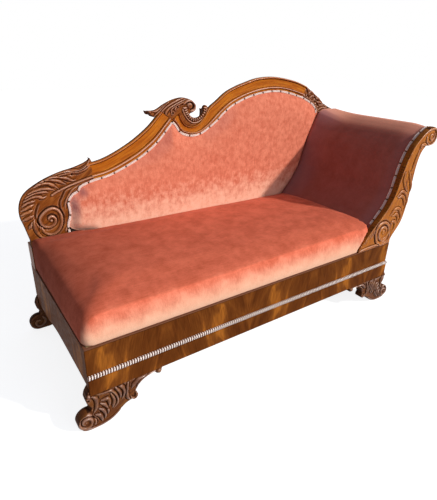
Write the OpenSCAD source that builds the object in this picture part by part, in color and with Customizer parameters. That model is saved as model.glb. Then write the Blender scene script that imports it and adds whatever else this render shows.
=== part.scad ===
// Recamier: an upholstered couch with a carved mahogany frame, one scrolled arm and a
// serpentine crest rail. Millimetres, +Z up, origin on the floor under the middle of the box.
// The drawing axes start at the left end of the front rail: x runs along the front,
// y runs from the rail's face to the back and z up from the floor.

/* [Seat frame] */
// Length of the front and back rails
rail_len = 1528; // [1522:1:1534]
// Depth from the face of the front rail to the back of the back rail
frame_d = 680; // [664:2:696]
// Height of the top of the rails
rail_top = 320; // [312:1:330]
// Height of the front rail's board
front_rail_h = 180; // [170:1:190]
// Height of the end and back rails' boards
end_rail_h = 150; // [140:1:160]
// Thickness of the front and end rails
rail_t = 28; // [22:1:34]
// Thickness of the back rail
back_rail_t = 40; // [32:1:48]
// How far the end rails drop towards the back feet
end_drop = 32; // [10:1:45]

/* [Front trim] */
// Thickness of the veneered apron under the rope moulding
apron_t = 7; // [4:0.5:10]
// Height of the apron
apron_h = 62; // [50:1:70]
// Height of the rope moulding
rope_h = 16; // [12:0.5:20]
// How far the rope moulding stands out of the rail
rope_out = 10; // [8:0.5:12]

/* [Feet] */
// Thickness of a foot's board behind the rail's face
foot_board_t = 28; // [22:1:34]
// Radius of the foot's volute
foot_r = 38; // [34:1:40]
// How far the foot's volute reaches past the end of the rail
foot_reach = 50; // [44:1:56]
// Depth of the carving on the feet, crest and arm
carve_h = 6; // [4:0.5:8]

/* [Crest] */
// Thickness of the crest's board
crest_t = 40; // [34:1:46]
// How far the crest's mouldings stand out of its field
bead_h = 8; // [5:0.5:10]
// Radius of the volute at the crest's left end
scroll_r = 48; // [42:1:52]
// Radius of the fluted cup
shell_r = 62; // [58:1:64]

/* [Arm] */
// Thickness of the arm's carved facade
facade_t = 30; // [24:1:36]
// Radius of the scroll at the top of the arm
roll_r = 44; // [40:1:46]
// Radius of the arm's top rail
top_rail_r = 17; // [13:1:20]
// Thickness of the board behind the arm
back_board_t = 28; // [22:1:32]
// Swell of the arm's stuffing behind the facade
arm_swell = 40; // [25:1:46]

/* [Upholstery] */
// Height of the seat's crown above the rails
seat_crown = 134; // [120:1:145]
// Set-back of the seat from the faces of the rails
seat_inset = 5; // [4:1:12]
// Swell of the back's stuffing
back_swell = 25; // [15:1:32]
// Thickness of the outer covers
cover_t = 3; // [2:0.5:4]
// Width of the gimp braid
gimp_w = 10; // [7:0.5:12]
// Thickness of the gimp braid
gimp_t = 3; // [2:0.5:4]
// Spacing of the gimp nails
nail_pitch = 58; // [45:1:80]
// Diameter of a gimp nail's head
nail_d = 7; // [5:0.5:9]
// Diameter of the wire of the seat springs
wire_d = 4; // [3:0.5:5]

/* [Fit] */
// Clearance between a soft part and what it lies against
soft_gap = 0.3; // [0.2:0.05:0.5]
// Clearance of a screw in its hole
screw_gap = 0.15; // [0.1:0.05:0.3]
// Diameter of the corner blocks' screws
screw_d = 5; // [4:0.5:6]

/* [Hidden] */

// Derived heights and depths
front_bottom = rail_top - front_rail_h;
end_bottom = rail_top - end_rail_h;
foot_h = front_bottom;
rope_z = front_bottom + apron_h;
back_y = frame_d;
crest_back = back_y - back_rail_t;
crest_y = crest_back - crest_t;
inner_y = crest_back - back_board_t;
roll = [rail_len + 160, rail_top + 502];
box_left = -foot_reach;
box_right = roll[0] + roll_r;
box_front = -apron_t - carve_h;
box_back = back_y;
mid = [(box_left + box_right) / 2, (box_front + box_back) / 2];

// Webbing and hessian under the stuffing, and the batten they are tacked to
strap_w = 50;
strap_t = 2;
hessian_t = 1.5;
batten = 22;

mahogany = [0.62, 0.33, 0.13];
flame = [0.45, 0.23, 0.1];
beech = [0.72, 0.56, 0.36];
velvet = [0.87, 0.45, 0.36];
braid = [0.9, 0.8, 0.76];
jute = [0.66, 0.54, 0.38];
steel = [0.55, 0.55, 0.57];
bronze = [0.3, 0.2, 0.13];

// Curves

// Catmull-Rom point between p1 and p2
function knot(p0, p1, p2, p3, t) = 0.5 * (2 * p1 + (p2 - p0) * t
    + (2 * p0 - 5 * p1 + 4 * p2 - p3) * t * t + (3 * p1 - p0 - 3 * p2 + p3) * t * t * t);

// Smooth curve through all points, n steps between neighbours
function curve(p, n = 4) = [for (i = [0:len(p) - 2], k = [0:n - 1])
    knot(p[max(i - 1, 0)], p[i], p[i + 1], p[min(i + 2, len(p) - 1)], k / n), p[len(p) - 1]];

function arc(c, r, a0, a1, n = 12) = [for (i = [0:n])
    let (a = a0 + (a1 - a0) * i / n) [c[0] + r * cos(a), c[1] + r * sin(a)]];

function reversed(p) = [for (i = [len(p) - 1:-1:0]) p[i]];

function normal_at(p, i) = let (d = p[min(i + 1, len(p) - 1)] - p[max(i - 1, 0)])
    [-d[1], d[0]] / norm(d);

// The curve moved sideways to its left by w, or by a width that changes from w to w2
function beside(p, w, w2 = undef) = [for (i = [0:len(p) - 1])
    p[i] + normal_at(p, i) * (is_undef(w2) ? w : w + (w2 - w) * i / (len(p) - 1))];

// Outline of a ribbon along p, its width running from w0 to w1
function ribbon(p, w0, w1) = concat(beside(p, w0 / 2, w1 / 2), reversed(beside(p, -w0 / 2, -w1 / 2)));

// Spiral about c that winds in from r0 to r1 over the angles a0 to a1
function spiral(c, r0, r1, a0, a1, n = 26) = [for (i = [0:n])
    let (t = i / n, a = a0 + (a1 - a0) * t, r = r0 * pow(r1 / r0, t)) c + r * [cos(a), sin(a)]];

// Outline of a leaf: a curved midrib with a width that swells and ends in a point
function leaf(p, w) = let (n = len(p) - 1) concat(
    [for (i = [0:n]) p[i] + normal_at(p, i) * w * sin(180 * pow(i / n, 0.7))],
    [for (i = [n - 1:-1:1]) p[i] - normal_at(p, i) * w * sin(180 * pow(i / n, 0.7))]);

// Lengths along a curve, for what is spaced along it
function run_lengths(p, i = 0, s = 0) = i == len(p) - 1 ? [s]
    : concat([s], run_lengths(p, i + 1, s + norm(p[i + 1] - p[i])));
function at_length(p, s, l, i = 0) = i >= len(p) - 2 || l[i + 1] >= s
    ? p[i] + (p[i + 1] - p[i]) * (s - l[i]) / (l[i + 1] - l[i]) : at_length(p, s, l, i + 1);
function spaced(p, pitch) = let (l = run_lengths(p), total = l[len(l) - 1],
    n = floor(total / pitch), start = (total - n * pitch) / 2)
    [for (k = [0:n]) at_length(p, start + k * pitch, l)];

// Solids

module placed() {
    translate([-mid[0], -mid[1], 0]) children();
}

// A flat outline drawn in x and z, standing as a board from depth y0 to y1
module board(outline, y0, y1) {
    translate([0, y1, 0]) rotate([90, 0, 0]) linear_extrude(y1 - y0) polygon(outline);
}

// The same for a shape that is made of 2D modules
module stand(y0, y1) {
    translate([0, y1, 0]) rotate([90, 0, 0]) linear_extrude(y1 - y0) children();
}

// Closed skin through rings of equal length, capped by fans about each end ring's middle
module skin(rings) {
    m = len(rings);
    n = len(rings[0]);
    first = [for (k = [0:2]) [for (p = rings[0]) p[k]] * [for (p = rings[0]) 1] / n];
    last = [for (k = [0:2]) [for (p = rings[m - 1]) p[k]] * [for (p = rings[m - 1]) 1] / n];
    points = concat([for (r = rings, p = r) p], [first, last]);
    sides = [for (j = [0:m - 2], i = [0:n - 1], half = [0, 1])
        let (a = j * n + i, b = j * n + (i + 1) % n)
        half == 0 ? [a, b, b + n] : [a, b + n, a + n]];
    bottom = [for (i = [0:n - 1]) [m * n, (i + 1) % n, i]];
    top = [for (i = [0:n - 1]) [m * n + 1, (m - 1) * n + i, (m - 1) * n + (i + 1) % n]];
    polyhedron(points, concat(sides, bottom, top), convexity = 6);
}

// Closed skin of a band: each section is a row of face points and a row of core points
module band_skin(faces_rows, core_rows) {
    m = len(faces_rows);
    n = len(faces_rows[0]);
    rings = [for (j = [0:m - 1]) concat(faces_rows[j], reversed(core_rows[j]))];
    w = 2 * n;
    points = [for (r = rings, p = r) p];
    sides = [for (j = [0:m - 2], i = [0:w - 1], half = [0, 1])
        let (a = j * w + i, b = j * w + (i + 1) % w)
        half == 0 ? [a, b, b + w] : [a, b + w, a + w]];
    caps = [for (i = [0:n - 2], half = [0, 1])
        let (c = w - 1 - i) half == 0 ? [i, c, i + 1] : [i + 1, c, c - 1]];
    end = (m - 1) * w;
    polyhedron(points, concat(sides, caps, [for (f = caps) [end + f[2], end + f[1], end + f[0]]]),
        convexity = 6);
}

// Outlines. Points from the left end are measured from the rail's end and top, points from
// the right end from the other end of the rail, and points round the shell from its middle.

shell = [rail_len / 2 - 7, rail_top + 595];
function from_left(p) = [for (q = p) q + [0, rail_top]];
function from_right(p) = [for (q = p) q + [rail_len, rail_top]];
function from_shell(p) = [for (q = p) q + shell];

// Points of the crest's two runs: the share of the run gone by, and the height above the rail.
// The low run goes from the scroll's end to the shell, the high one from the leaf to the shell.
low_start = 280;
high_start = rail_len - 91;
function low_run(p) = [for (q = p)
    [low_start + q[0] * (shell[0] - 172 - low_start), rail_top + q[1]]];
function high_run(p) = [for (q = p)
    [high_start + q[0] * (shell[0] + 85 - high_start), rail_top + q[1]]];

scroll_c = [87, rail_top + 208];
scroll_outer = from_left([[0, 137], [-12, 196], [-22, 239], [-19, 280], [-5, 314], [18, 338],
    [57, 361], [98, 379], [149, 395], [204, 406], [253, 414]]);
scroll_inner = from_left([[150, 137], [150, 174], [163, 218], [162, 270], [181, 299],
    [207, 313], [215, 327], [238, 338], [280, 350]]);

low_outer = concat([scroll_outer[10]], low_run([[0.134, 427], [0.37, 455], [0.607, 493], [0.833, 541]]),
    from_shell([[-172, -5], [-160, 5]]));
low_inner = concat([scroll_inner[8]], low_run([[0.213, 361], [0.456, 388], [0.695, 422], [0.938, 472]]),
    from_shell([[-132, -63], [-106, -35]]));

leaf_outer = from_right([[-69, 682], [-19, 654], [34, 622], [89, 585], [145, 561], [168, 550]]);
leaf_inner = from_right([[-91, 632], [-42, 611], [-4, 590], [19, 565], [25, 546]]);

high_outer = concat(from_shell([[-67, -10], [-58, -35], [-43, -54], [-22, -65], [3, -68],
    [31, -58], [58, -32], [85, 8]]), high_run([[0.931, 632], [0.847, 667], [0.763, 689],
    [0.659, 708], [0.538, 726], [0.397, 732], [0.261, 726], [0.099, 708]]), [leaf_outer[0]]);
high_inner = concat(from_shell([[-106, -35], [-85, -54], [-67, -81], [-41, -96], [-5, -104],
    [43, -97], [91, -71], [132, -43]]), high_run([[0.861, 582], [0.785, 611], [0.714, 629],
    [0.63, 646], [0.526, 660], [0.398, 669], [0.272, 668], [0.133, 653]]), [leaf_inner[0]]);

// The carved cresting: a rising acanthus that curls over, then the open fluted cup
cup_c = shell + [18, 10];
cresting = concat(from_shell([[-160, 5], [-194, -18]]),
    curve(from_shell([[-225, 11], [-186, 12], [-143, 34], [-99, 51], [-55, 58], [-17, 50], [4, 36],
    [16, 19], [11, -2], [-7, -10]]), 3), arc(cup_c, shell_r - 20, 215, 345, 8),
    from_shell([[55, 15], [65, 22], [77, 18]]));

arm_inner = from_right([[-237, 0], [-232, 27], [-163, 103], [-112, 150], [-69, 198],
    [-37, 259], [-19, 334], [1, 402], [32, 460], [75, 503], [113, 528], [145, 544]]);
arm_outer = from_right([[132, 459], [104, 431], [88, 374], [84, 301], [83, 244], [77, 172],
    [57, 96], [2, 26], [0, 0]]);
arm_volute = [rail_len - 88, rail_top + 115];

// The foot is drawn this high and fitted to its own height
foot_drawn_h = 140;
function foot_fit(p) = [for (q = p) [q[0], q[1] * foot_h / foot_drawn_h]];
foot_outline = foot_fit(concat([[0, 140], [0, 164], [-10, 148], [-15, 130], [-12, 110], [0, 88]],
    arc([foot_r - foot_reach, foot_r], foot_r, 80, 270, 14),
    curve([[30, 0], [67, 10], [98, 32], [118, 46], [134, 51]], 2),
    arc([147, 68], 15, -110, 60, 8),
    curve([[161, 92], [168, 110], [184, 123], [208, 132], [228, 133]], 2),
    arc([247, 129], 12, 200, 370, 8), [[262, 140]]));

// Runs of the opening's edge, left to right
function tail(p) = [for (i = [1:len(p) - 1]) p[i]];
opening_top = concat(curve(scroll_inner, 3), tail(curve(low_inner, 3)), tail(curve(high_inner, 3)),
    tail(curve(leaf_inner, 3)));

// Seat frame

module screw_holes(r, deep) {
    for (left = [0, 1], front = [0, 1]) corner(left, front) screw_pair() screw_hole(r, deep);
}

block_leg = 60;
block_step = 26;
block_z = rail_top - 125;
block_h = 100;
screw_deep = 16;
head_d = 2 * screw_d;
head_h = 3;

// Puts its child, drawn for the front left corner, into one of the four corners
module corner(left, front) {
    translate([left ? rail_t : rail_len - rail_t, front ? rail_t : back_y - back_rail_t, block_z])
        mirror([left ? 0 : 1, 0, 0]) mirror([0, front ? 0 : 1, 0]) children();
}

// Puts its child, drawn along x, where the block's two screws go
module screw_pair() {
    translate([0, block_step / 2, block_h * 0.7]) children();
    mirror([1, -1, 0]) translate([0, block_step / 2, block_h * 0.3]) children();
}

module screw_hole(r, deep) {
    translate([-deep, 0, 0]) rotate([0, 90, 0]) cylinder(r = r, h = deep + block_leg + 1, $fn = 32);
}

module front_rail() {
    color(flame) difference() {
        translate([0, 0, front_bottom]) cube([rail_len, rail_t, front_rail_h]);
        screw_holes(screw_d / 2 + screw_gap, screw_deep + screw_gap);
    }
}

module end_rail(x) {
    foot_y = back_y - foot_board_t;
    dip = curve([[rail_t, end_bottom], [frame_d * 0.5, end_bottom],
        [frame_d * 0.74, end_bottom - end_drop * 0.8], [foot_y, end_bottom - end_drop]], 6);
    color(flame) difference() {
        translate([x, 0, 0]) rotate([90, 0, 90]) linear_extrude(rail_t)
            polygon(concat(dip, [[foot_y, foot_h], [back_y, foot_h], [back_y, rail_top],
                [rail_t, rail_top]]));
        screw_holes(screw_d / 2 + screw_gap, screw_deep + screw_gap);
    }
}

module left_rail() {
    end_rail(0);
}

module right_rail() {
    end_rail(rail_len - rail_t);
}

module back_rail() {
    color(beech) difference() {
        translate([rail_t, back_y - back_rail_t, foot_h])
            cube([rail_len - 2 * rail_t, back_rail_t, rail_top - foot_h]);
        screw_holes(screw_d / 2 + screw_gap, screw_deep + screw_gap);
    }
}

module front_apron() {
    color(flame) translate([0, -apron_t, front_bottom]) cube([rail_len, apron_t, apron_h]);
}

module rope_moulding() {
    r = rope_h / 2;
    color(braid) intersection() {
        translate([0, r - rope_out, rope_z + r]) rotate([0, 90, 0]) cylinder(r = r, h = rail_len, $fn = 40);
        translate([0, -rope_out, rope_z]) cube([rail_len, rope_out, rope_h]);
    }
}

module seat_battens() {
    color(beech) for (y = [rail_t, back_y - back_rail_t - batten]) translate([rail_t, y, end_bottom])
        cube([rail_len - 2 * rail_t, batten, batten]);
}

module corner_blocks() {
    color(beech) for (left = [0, 1], front = [0, 1]) corner(left, front) difference() {
        linear_extrude(block_h) polygon([[0, 0], [block_leg, 0], [block_leg, block_step],
            [block_step, block_leg], [0, block_leg]]);
        screw_pair() screw_hole(screw_d / 2 + screw_gap, 1);
    }
}

module corner_screws() {
    color(steel) for (left = [0, 1], front = [0, 1]) corner(left, front) screw_pair()
        rotate([0, 90, 0]) {
            translate([0, 0, -screw_deep]) cylinder(d = screw_d, h = screw_deep + block_leg, $fn = 32);
            translate([0, 0, block_leg]) cylinder(d = head_d, h = head_h, $fn = 32);
        }
}

// Feet

module foot_carving() {
    volute_c = [foot_r - foot_reach, foot_r];
    polygon(foot_fit(ribbon(spiral(volute_c, foot_r - 5, 9, 60, -400, 30), 9, 4)));
    polygon(foot_fit(arc(volute_c, 7, 0, 345, 23)));
    polygon(foot_fit(leaf(curve([[8, 84], [40, 88], [66, 70], [70, 36]], 4), 13)));
    polygon(foot_fit(leaf(curve([[30, 112], [70, 112], [100, 92], [106, 56]], 4), 14)));
    polygon(foot_fit(leaf(curve([[76, 128], [112, 124], [134, 104], [140, 78]], 4), 12)));
    polygon(foot_fit(ribbon(curve([[236, 136], [190, 130], [160, 112], [146, 90], [146, 74]], 4), 9, 6)));
}

// Carved foot, drawn for the left end
module foot(y0, carved) {
    board(foot_outline, y0, y0 + foot_board_t + (carved ? apron_t : 0));
    if (carved) stand(y0 - carve_h, y0) intersection() {
        polygon(foot_outline);
        foot_carving();
    }
}

module right_side() {
    translate([rail_len, 0, 0]) mirror([1, 0, 0]) children();
}

module foot_front_left() {
    color(mahogany) foot(-apron_t, true);
}

module foot_front_right() {
    color(mahogany) right_side() foot(-apron_t, true);
}

module foot_back_left() {
    color(mahogany) foot(back_y - foot_board_t, false);
}

module foot_back_right() {
    color(mahogany) right_side() foot(back_y - foot_board_t, false);
}

// Crest

// Depth of the crest's full outline, behind which its outer edge is cut back
lip = 12;

// Crest board, cut back behind its lip by the given move
module crest_board(outline, cut) {
    board(outline, crest_y, crest_y + lip);
    stand(crest_y + lip, crest_back) intersection() {
        polygon(outline);
        translate(cut) polygon(outline);
    }
}

// Moulding between two curves: outer bead, hollow field, inner bead and a fillet
moulding = [[0, -4], [0.02, 2], [0.08, 5], [0.15, 3], [0.19, -2], [0.23, 0], [0.5, -3],
    [0.72, 0], [0.76, 4], [0.84, bead_h], [0.92, 4], [0.94, 0], [1, 0]];

module moulded_run(outer, inner) {
    o = curve(outer, 3);
    i = curve(inner, 3);
    skin([for (k = [0:len(o) - 1]) concat(
        [for (m = moulding) let (p = o[k] + (i[k] - o[k]) * m[0]) [p[0], crest_y - m[1], p[1]]],
        let (b = o[k] + (i[k] - o[k]) * 0.35)
        [[i[k][0], crest_back, i[k][1]], [b[0], crest_back, b[1]], [o[k][0], crest_y + lip, o[k][1]]])]);
}

module scroll_carving() {
    polygon(ribbon(spiral(scroll_c, scroll_r, 10, 100, -480, 36), 12, 5));
    translate(scroll_c) circle(8, $fn = 24);
    for (k = [0:6]) {
        a = 205 - 22 * k;
        root = scroll_c + (scroll_r + 12) * [cos(a), sin(a)];
        tip = scroll_c + (scroll_r + 52 + 5 * k) * [cos(a - 24), sin(a - 24)];
        polygon(leaf(curve([root, (root + tip) / 2 + 9 * [cos(a), sin(a)], tip], 5), 10));
    }
    polygon(leaf(curve(from_left([[150, 370], [190, 392], [238, 402], [268, 418]]), 4), 9));
}

module crest_scroll() {
    outline = concat(curve(scroll_outer, 3), reversed(curve(scroll_inner, 3)));
    color(mahogany) {
        crest_board(outline, [14, -16]);
        stand(crest_y - carve_h, crest_y) intersection() {
            polygon(outline);
            scroll_carving();
        }
    }
}

module crest_rail_low() {
    color(mahogany) moulded_run(low_outer, low_inner);
}

module crest_rail_high() {
    color(mahogany) moulded_run(high_outer, high_inner);
}

module shell_carving() {
    for (k = [0:12]) {
        a = -158 + 13 * k;
        polygon(leaf([for (t = [0:4]) cup_c + (shell_r - 19 + 4.5 * t) * [cos(a), sin(a)]], 4));
    }
    for (k = [0:3]) {
        root = shell + [-150 + 34 * k, -6 + 8 * k];
        polygon(leaf(curve([root, root + [30, 14], root + [58, 22 - 2 * k]], 5), 9));
    }
    polygon(ribbon(spiral(shell + [-12, 26], 28, 7, 120, -330, 24), 10, 6));
}

module crest_shell() {
    outline = concat(cresting, reversed(curve([for (k = [0:7]) high_outer[k]], 3)), [low_inner[6]]);
    color(mahogany) {
        crest_board(outline, [4, -18]);
        stand(crest_y - carve_h, crest_y) intersection() {
            polygon(outline);
            shell_carving();
        }
    }
}

module crest_leaf() {
    outline = concat(curve(leaf_outer, 3), reversed(curve(leaf_inner, 3)));
    color(mahogany) {
        crest_board(outline, [-8, -16]);
        stand(crest_y - carve_h, crest_y) intersection() {
            polygon(outline);
            for (k = [0:4]) {
                root = leaf_inner[0] + k * [31, -15] + [6, 8];
                polygon(leaf(curve([root, root + [8, 22], root + [-6, 50]], 5), 8));
            }
        }
    }
}

// The stuffing keeps flat for this width under the gimp
border = gimp_w + 2;
function ease(t) = let (u = max(0, min(1, t))) sin(90 * u);

// The arm's stuffing: a row of face points and a row of core points at each depth
arm_steps = 3;
roll_in = 8;
arm_line = concat(from_right([[-205, 58]]), [for (k = [2:len(arm_inner) - 1]) arm_inner[k]]);
pad_t = 38;
pad_front = facade_t + soft_gap;
pad_end = crest_y - bead_h - soft_gap;

arm_run = curve(arm_line, arm_steps);
arm_top = arc(roll, roll_r - roll_in, 85, -100, 11);
arm_face = concat(beside(arm_run, -roll_in), arm_top);
arm_core = concat(beside(arm_run, -roll_in - pad_t, -roll_in - roll_r + top_rail_r + roll_in + soft_gap),
    arc(roll, top_rail_r + soft_gap, 85, -100, 11));

// Swell of the arm's stuffing at depth y, s from its foot to its roll
mid_swell = 14;
mid_run = 80;
swell_run = 170;
function arm_out(y, s) = mid_swell * ease((y - pad_front - border) / mid_run) * (1 - 0.5 * s)
    + arm_swell * (1.35 - 1.15 * s) * pow(max(0, (y - pad_end + swell_run) / swell_run), 2);

function arm_row(y) = let (n = len(arm_face) - 1) [for (i = [0:n])
    let (fade = 1 - 0.9 * max(0, min(1, (i - len(arm_run)) / 6)),
        p = arm_face[i] + normal_at(arm_face, i) * arm_out(y, i / n) * fade) [p[0], y, p[1]]];

arm_seam = [for (i = [0:len(arm_run) - 3]) let (p = arm_row(pad_end)[i]) [p[0], p[2]]];
function seam_height(x) = x < arm_seam[0][0] - 25 ? 0 : lookup(x, arm_seam);

// Back frame

post_w = scroll_inner[0][0];
lower_rail_z = rail_top + 30;
lower_rail_h = 50;
board_x = rail_len - 42;
pad_back = inner_y - strap_t - hessian_t - soft_gap;
edge_gap = 3 * soft_gap;

// Block under the scroll, with a post behind it on the back rail
post_x = 16;
post_r = 23;
post_h = 96;
module back_post_left() {
    color(mahogany) union() {
        translate([post_x, crest_y, rail_top])
            cube([post_w - post_x, crest_t, scroll_outer[0][1] - rail_top]);
        board(concat([[0, rail_top], [2 * post_r, rail_top]],
            arc([post_r, rail_top + post_h - post_r], post_r, 0, 180, 12)), crest_back, back_y - 8);
    }
}

low_point = min([for (p = opening_top) if (abs(p[0] - shell[0]) < 60) p[1]]);

module back_stile() {
    x0 = shell[0] - 30;
    color(beech) translate([x0, inner_y, lower_rail_z + lower_rail_h])
        cube([50, back_board_t, low_point - lower_rail_z - lower_rail_h]);
}

module back_bottom_rail() {
    color(beech) translate([post_w, inner_y, lower_rail_z])
        cube([board_x - post_w, back_board_t, lower_rail_h]);
}

// Height of the opening's edge at x
function edge_at(x) = lookup(x, opening_top);

opening = concat([[scroll_inner[0][0], lower_rail_z]], opening_top,
    [for (p = reversed(arm_seam)) if (p[1] < leaf_inner[4][1] - 1) p],
    [[arm_seam[0][0], lower_rail_z]]);

module back_webbing() {
    pitch = (board_x - post_w) / 9;
    color(jute) intersection() {
        board(opening, inner_y - strap_t, inner_y);
        for (k = [1:8]) translate([post_w + k * pitch - strap_w / 2, inner_y - strap_t, 0])
            cube([strap_w, strap_t, 2 * shell[1]]);
    }
}

module back_hessian() {
    color(jute) board(opening, inner_y - strap_t - hessian_t, inner_y - strap_t);
}

// Share of the back's swell at x: none next to the scroll, full from there on
function side_swell(x) = ease((x - scroll_inner[2][0] - border) / 90);

// The back's stuffing, drawn as upright slices from left to right. A steep edge needs a
// longer upright border, and a short slice swells less.
function back_slice(x) = let (steep = min(3, norm([6, edge_at(x + 3) - edge_at(x - 3)]) / 6),
    top = edge_at(x) - edge_gap * steep,
    low = max(lower_rail_z, seam_height(x) + 8 * soft_gap),
    tall = max(6, top - low), squeeze = min(1, tall / 240),
    flat = min(border * steep, 0.4 * tall), swell = back_swell * side_swell(x) * squeeze)
    concat([[x, crest_y + soft_gap, top]],
        [for (f = [0, 0.06, 0.15, 0.28, 0.45, 0.68, 1]) let (d = flat + (tall - flat) * f)
            [x, crest_y + soft_gap - swell * ease((d - flat) / squeeze / 100), top - d]],
        [[x, pad_back, top - tall], [x, pad_back, top]]);

function steps(a, b, n) = [for (k = [1:n]) a + (b - a) * k / n];

module back_pad() {
    left = scroll_inner[0][0] + soft_gap;
    right = leaf_inner[3][0] - 2;
    cusp = low_inner[6][0];
    columns = concat([left], steps(left, left + 12, 1), steps(left + 12, cusp, 27),
        steps(cusp, cusp + 60, 8), steps(cusp + 60, right - 60, 34), steps(right - 60, right, 10));
    color(velvet) skin([for (x = columns) back_slice(x)]);
}

module back_cover() {
    low = rail_top + soft_gap;
    color(velvet) board(concat([[post_w, low]], [for (p = opening_top) if (p[0] < board_x) p],
        [[board_x, edge_at(board_x)], [board_x, low]]), crest_back, crest_back + cover_t);
}

module back_gimp() {
    color(braid) stand(crest_y - gimp_t, crest_y)
        for (edge = [scroll_inner, low_inner, high_inner, leaf_inner]) let (run = curve(edge, 3))
            polygon(concat(beside(run, -soft_gap), reversed(beside(run, -gimp_w - soft_gap))));
}

module nail_head() {
    r = nail_d / 2;
    rotate_extrude($fn = 24) polygon(concat([[0, 0]], arc([0, -r * 0.4], r * 1.08, 22, 90, 5)));
}

module back_gimp_nails() {
    color(bronze) for (p = spaced(beside(opening_top, -gimp_w / 2 - soft_gap), nail_pitch))
        translate([p[0], crest_y - gimp_t, p[1]]) rotate([90, 0, 0]) nail_head();
}

// Arm

module arm_pad() {
    depths = concat([pad_front, pad_front + border],
        [for (k = [1:4]) pad_front + border + mid_run * k / 4],
        [for (k = [0:6]) pad_end - swell_run * (1 - k / 6)]);
    color(velvet) band_skin([for (y = depths) arm_row(y)],
        [for (y = depths) [for (p = arm_core) [p[0], y, p[1]]]]);
}

module arm_facade() {
    outline = concat(curve(arm_inner, 3), arc(roll, roll_r, 80, -60, 12), curve(arm_outer, 3));
    color(mahogany) {
        board(outline, 0, facade_t);
        stand(-carve_h, 0) intersection() {
            polygon(outline);
            facade_carving();
        }
    }
}

module facade_carving() {
    bead_w = 7;
    run = curve(arm_inner, 3);
    polygon(ribbon(beside([for (k = [8:len(run) - 1]) run[k]], -bead_w), bead_w, bead_w));
    polygon(ribbon(spiral(roll, roll_r - 4, 9, 100, -400, 26), 8, 4));
    translate(roll) circle(6, $fn = 24);
    polygon(ribbon(spiral(arm_volute, 58, 10, 60, 560, 34), 12, 5));
    translate(arm_volute) circle(8, $fn = 24);
    for (k = [0:3]) {
        root = arm_outer[7 - k] + [-16, 30];
        tip = arm_outer[6 - k] + [-30, 20];
        polygon(leaf(curve([root, (root + tip) / 2 + [10, 0], tip], 5), 11));
    }
    for (k = [0:2]) {
        root = arm_inner[0] + [46 + 34 * k, 14 + 6 * k];
        polygon(leaf(curve([root, root + [10, 22], root + [34, 42 + 4 * k]], 5), 9));
    }
}

module arm_back_board() {
    rest = [for (p = curve(leaf_inner, 3)) if (p[0] > board_x - 0.1) p];
    outline = concat([[board_x, rail_top]], rest, [leaf_outer[5]],
        arc(roll, roll_r, 60, -60, 10), curve(arm_outer, 3));
    color(beech) board(outline, inner_y, crest_back);
}

module arm_top_rail() {
    color(beech) translate([roll[0], facade_t, roll[1]]) rotate([-90, 0, 0])
        cylinder(r = top_rail_r, h = inner_y - facade_t, $fn = 48);
}

module arm_tack_rail() {
    a = arm_core[1];
    b = arm_core[4];
    n = [b[1] - a[1], a[0] - b[0]] / norm(b - a);
    color(beech) board([a + n * strap_t, b + n * strap_t, b + n * batten, a + n * batten],
        facade_t, inner_y);
}

module arm_webbing() {
    run = [for (k = [1:len(arm_run) - 4]) arm_core[k]];
    strap = concat(beside(run, -soft_gap), reversed(beside(run, -strap_t)));
    pitch = (inner_y - facade_t - 3 * strap_w) / 4;
    color(jute) for (k = [0:4]) let (y = facade_t + strap_w + pitch * k)
        board(strap, y, y + strap_w);
}

module arm_cover() {
    start = roll + (roll_r - roll_in - cover_t) * [cos(-106), sin(-106)];
    line = concat([start], [for (p = tail(beside(curve(arm_outer, 3), -roll_in)))
        if (p[1] > rail_top + 2 * cover_t) p]);
    color(velvet) board(concat(line, reversed(beside(line, -cover_t))),
        facade_t + soft_gap, inner_y - soft_gap);
}

arm_edge = [for (k = [4:len(arm_run) + 2]) arm_face[k]];

module arm_gimp() {
    color(braid) board(concat(beside(arm_edge, soft_gap), reversed(beside(arm_edge, gimp_t))),
        pad_front, pad_front + gimp_w);
}

module arm_gimp_nails() {
    line = beside(arm_edge, gimp_t);
    l = run_lengths(line);
    color(bronze) for (p = spaced(line, nail_pitch)) {
        near = [for (k = [0:len(line) - 2]) if (norm(line[k] - p) + norm(line[k + 1] - p)
            < norm(line[k + 1] - line[k]) + 0.01) k][0];
        n = normal_at(line, near);
        translate([p[0], pad_front + gimp_w / 2, p[1]])
            rotate([0, atan2(n[0], n[1]), 0]) translate([0, 0, soft_gap]) nail_head();
    }
}

// Seat

strap_pitch = (rail_len - 2 * rail_t) / 9;
module seat_webbing() {
    color(jute) for (k = [-4:4])
        translate([rail_len / 2 + k * strap_pitch - strap_w / 2, rail_t, end_bottom - strap_t])
            cube([strap_w, back_y - rail_t - back_rail_t, strap_t]);
}

coils = 4;
coil_steps = 8;
wire_sides = 5;
spring_r = 34;
spring_waist = 24;
spring_pitch = [2 * strap_pitch, (back_y - rail_t - back_rail_t) / 3.5];

// Middle of a seat spring's wire, for a spring of height h
function spring_line(h) = [for (k = [0:coils * coil_steps])
    let (t = k / (coils * coil_steps), a = 360 * k / coil_steps,
        r = spring_waist + (spring_r - spring_waist) * pow(2 * t - 1, 2))
    [r * cos(a), r * sin(a), wire_d / 2 + (h - wire_d) * t]];

module spring(h) {
    line = spring_line(h);
    gap = min([for (i = [0:len(line) - 1 - coil_steps / 2], j = [i + coil_steps / 2:len(line) - 1])
        norm(line[i] - line[j])]) - wire_d;
    echo(str("Least gap between the turns of a seat spring: ", gap, " mm"));
    skin([for (p = line) let (out = [p[0], p[1], 0] / norm([p[0], p[1]]))
        [for (c = [0:wire_sides - 1]) let (a = 360 * c / wire_sides)
            p + wire_d / 2 * (out * cos(a) + [0, 0, sin(a)])]]);
}

module seat_springs() {
    color(steel) for (column = [-1.5:1.5], row = [-1:1])
        translate([rail_len / 2 + column * spring_pitch[0],
            (back_y + rail_t - back_rail_t) / 2 + row * spring_pitch[1], end_bottom])
            spring(rail_top - end_bottom);
}

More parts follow.
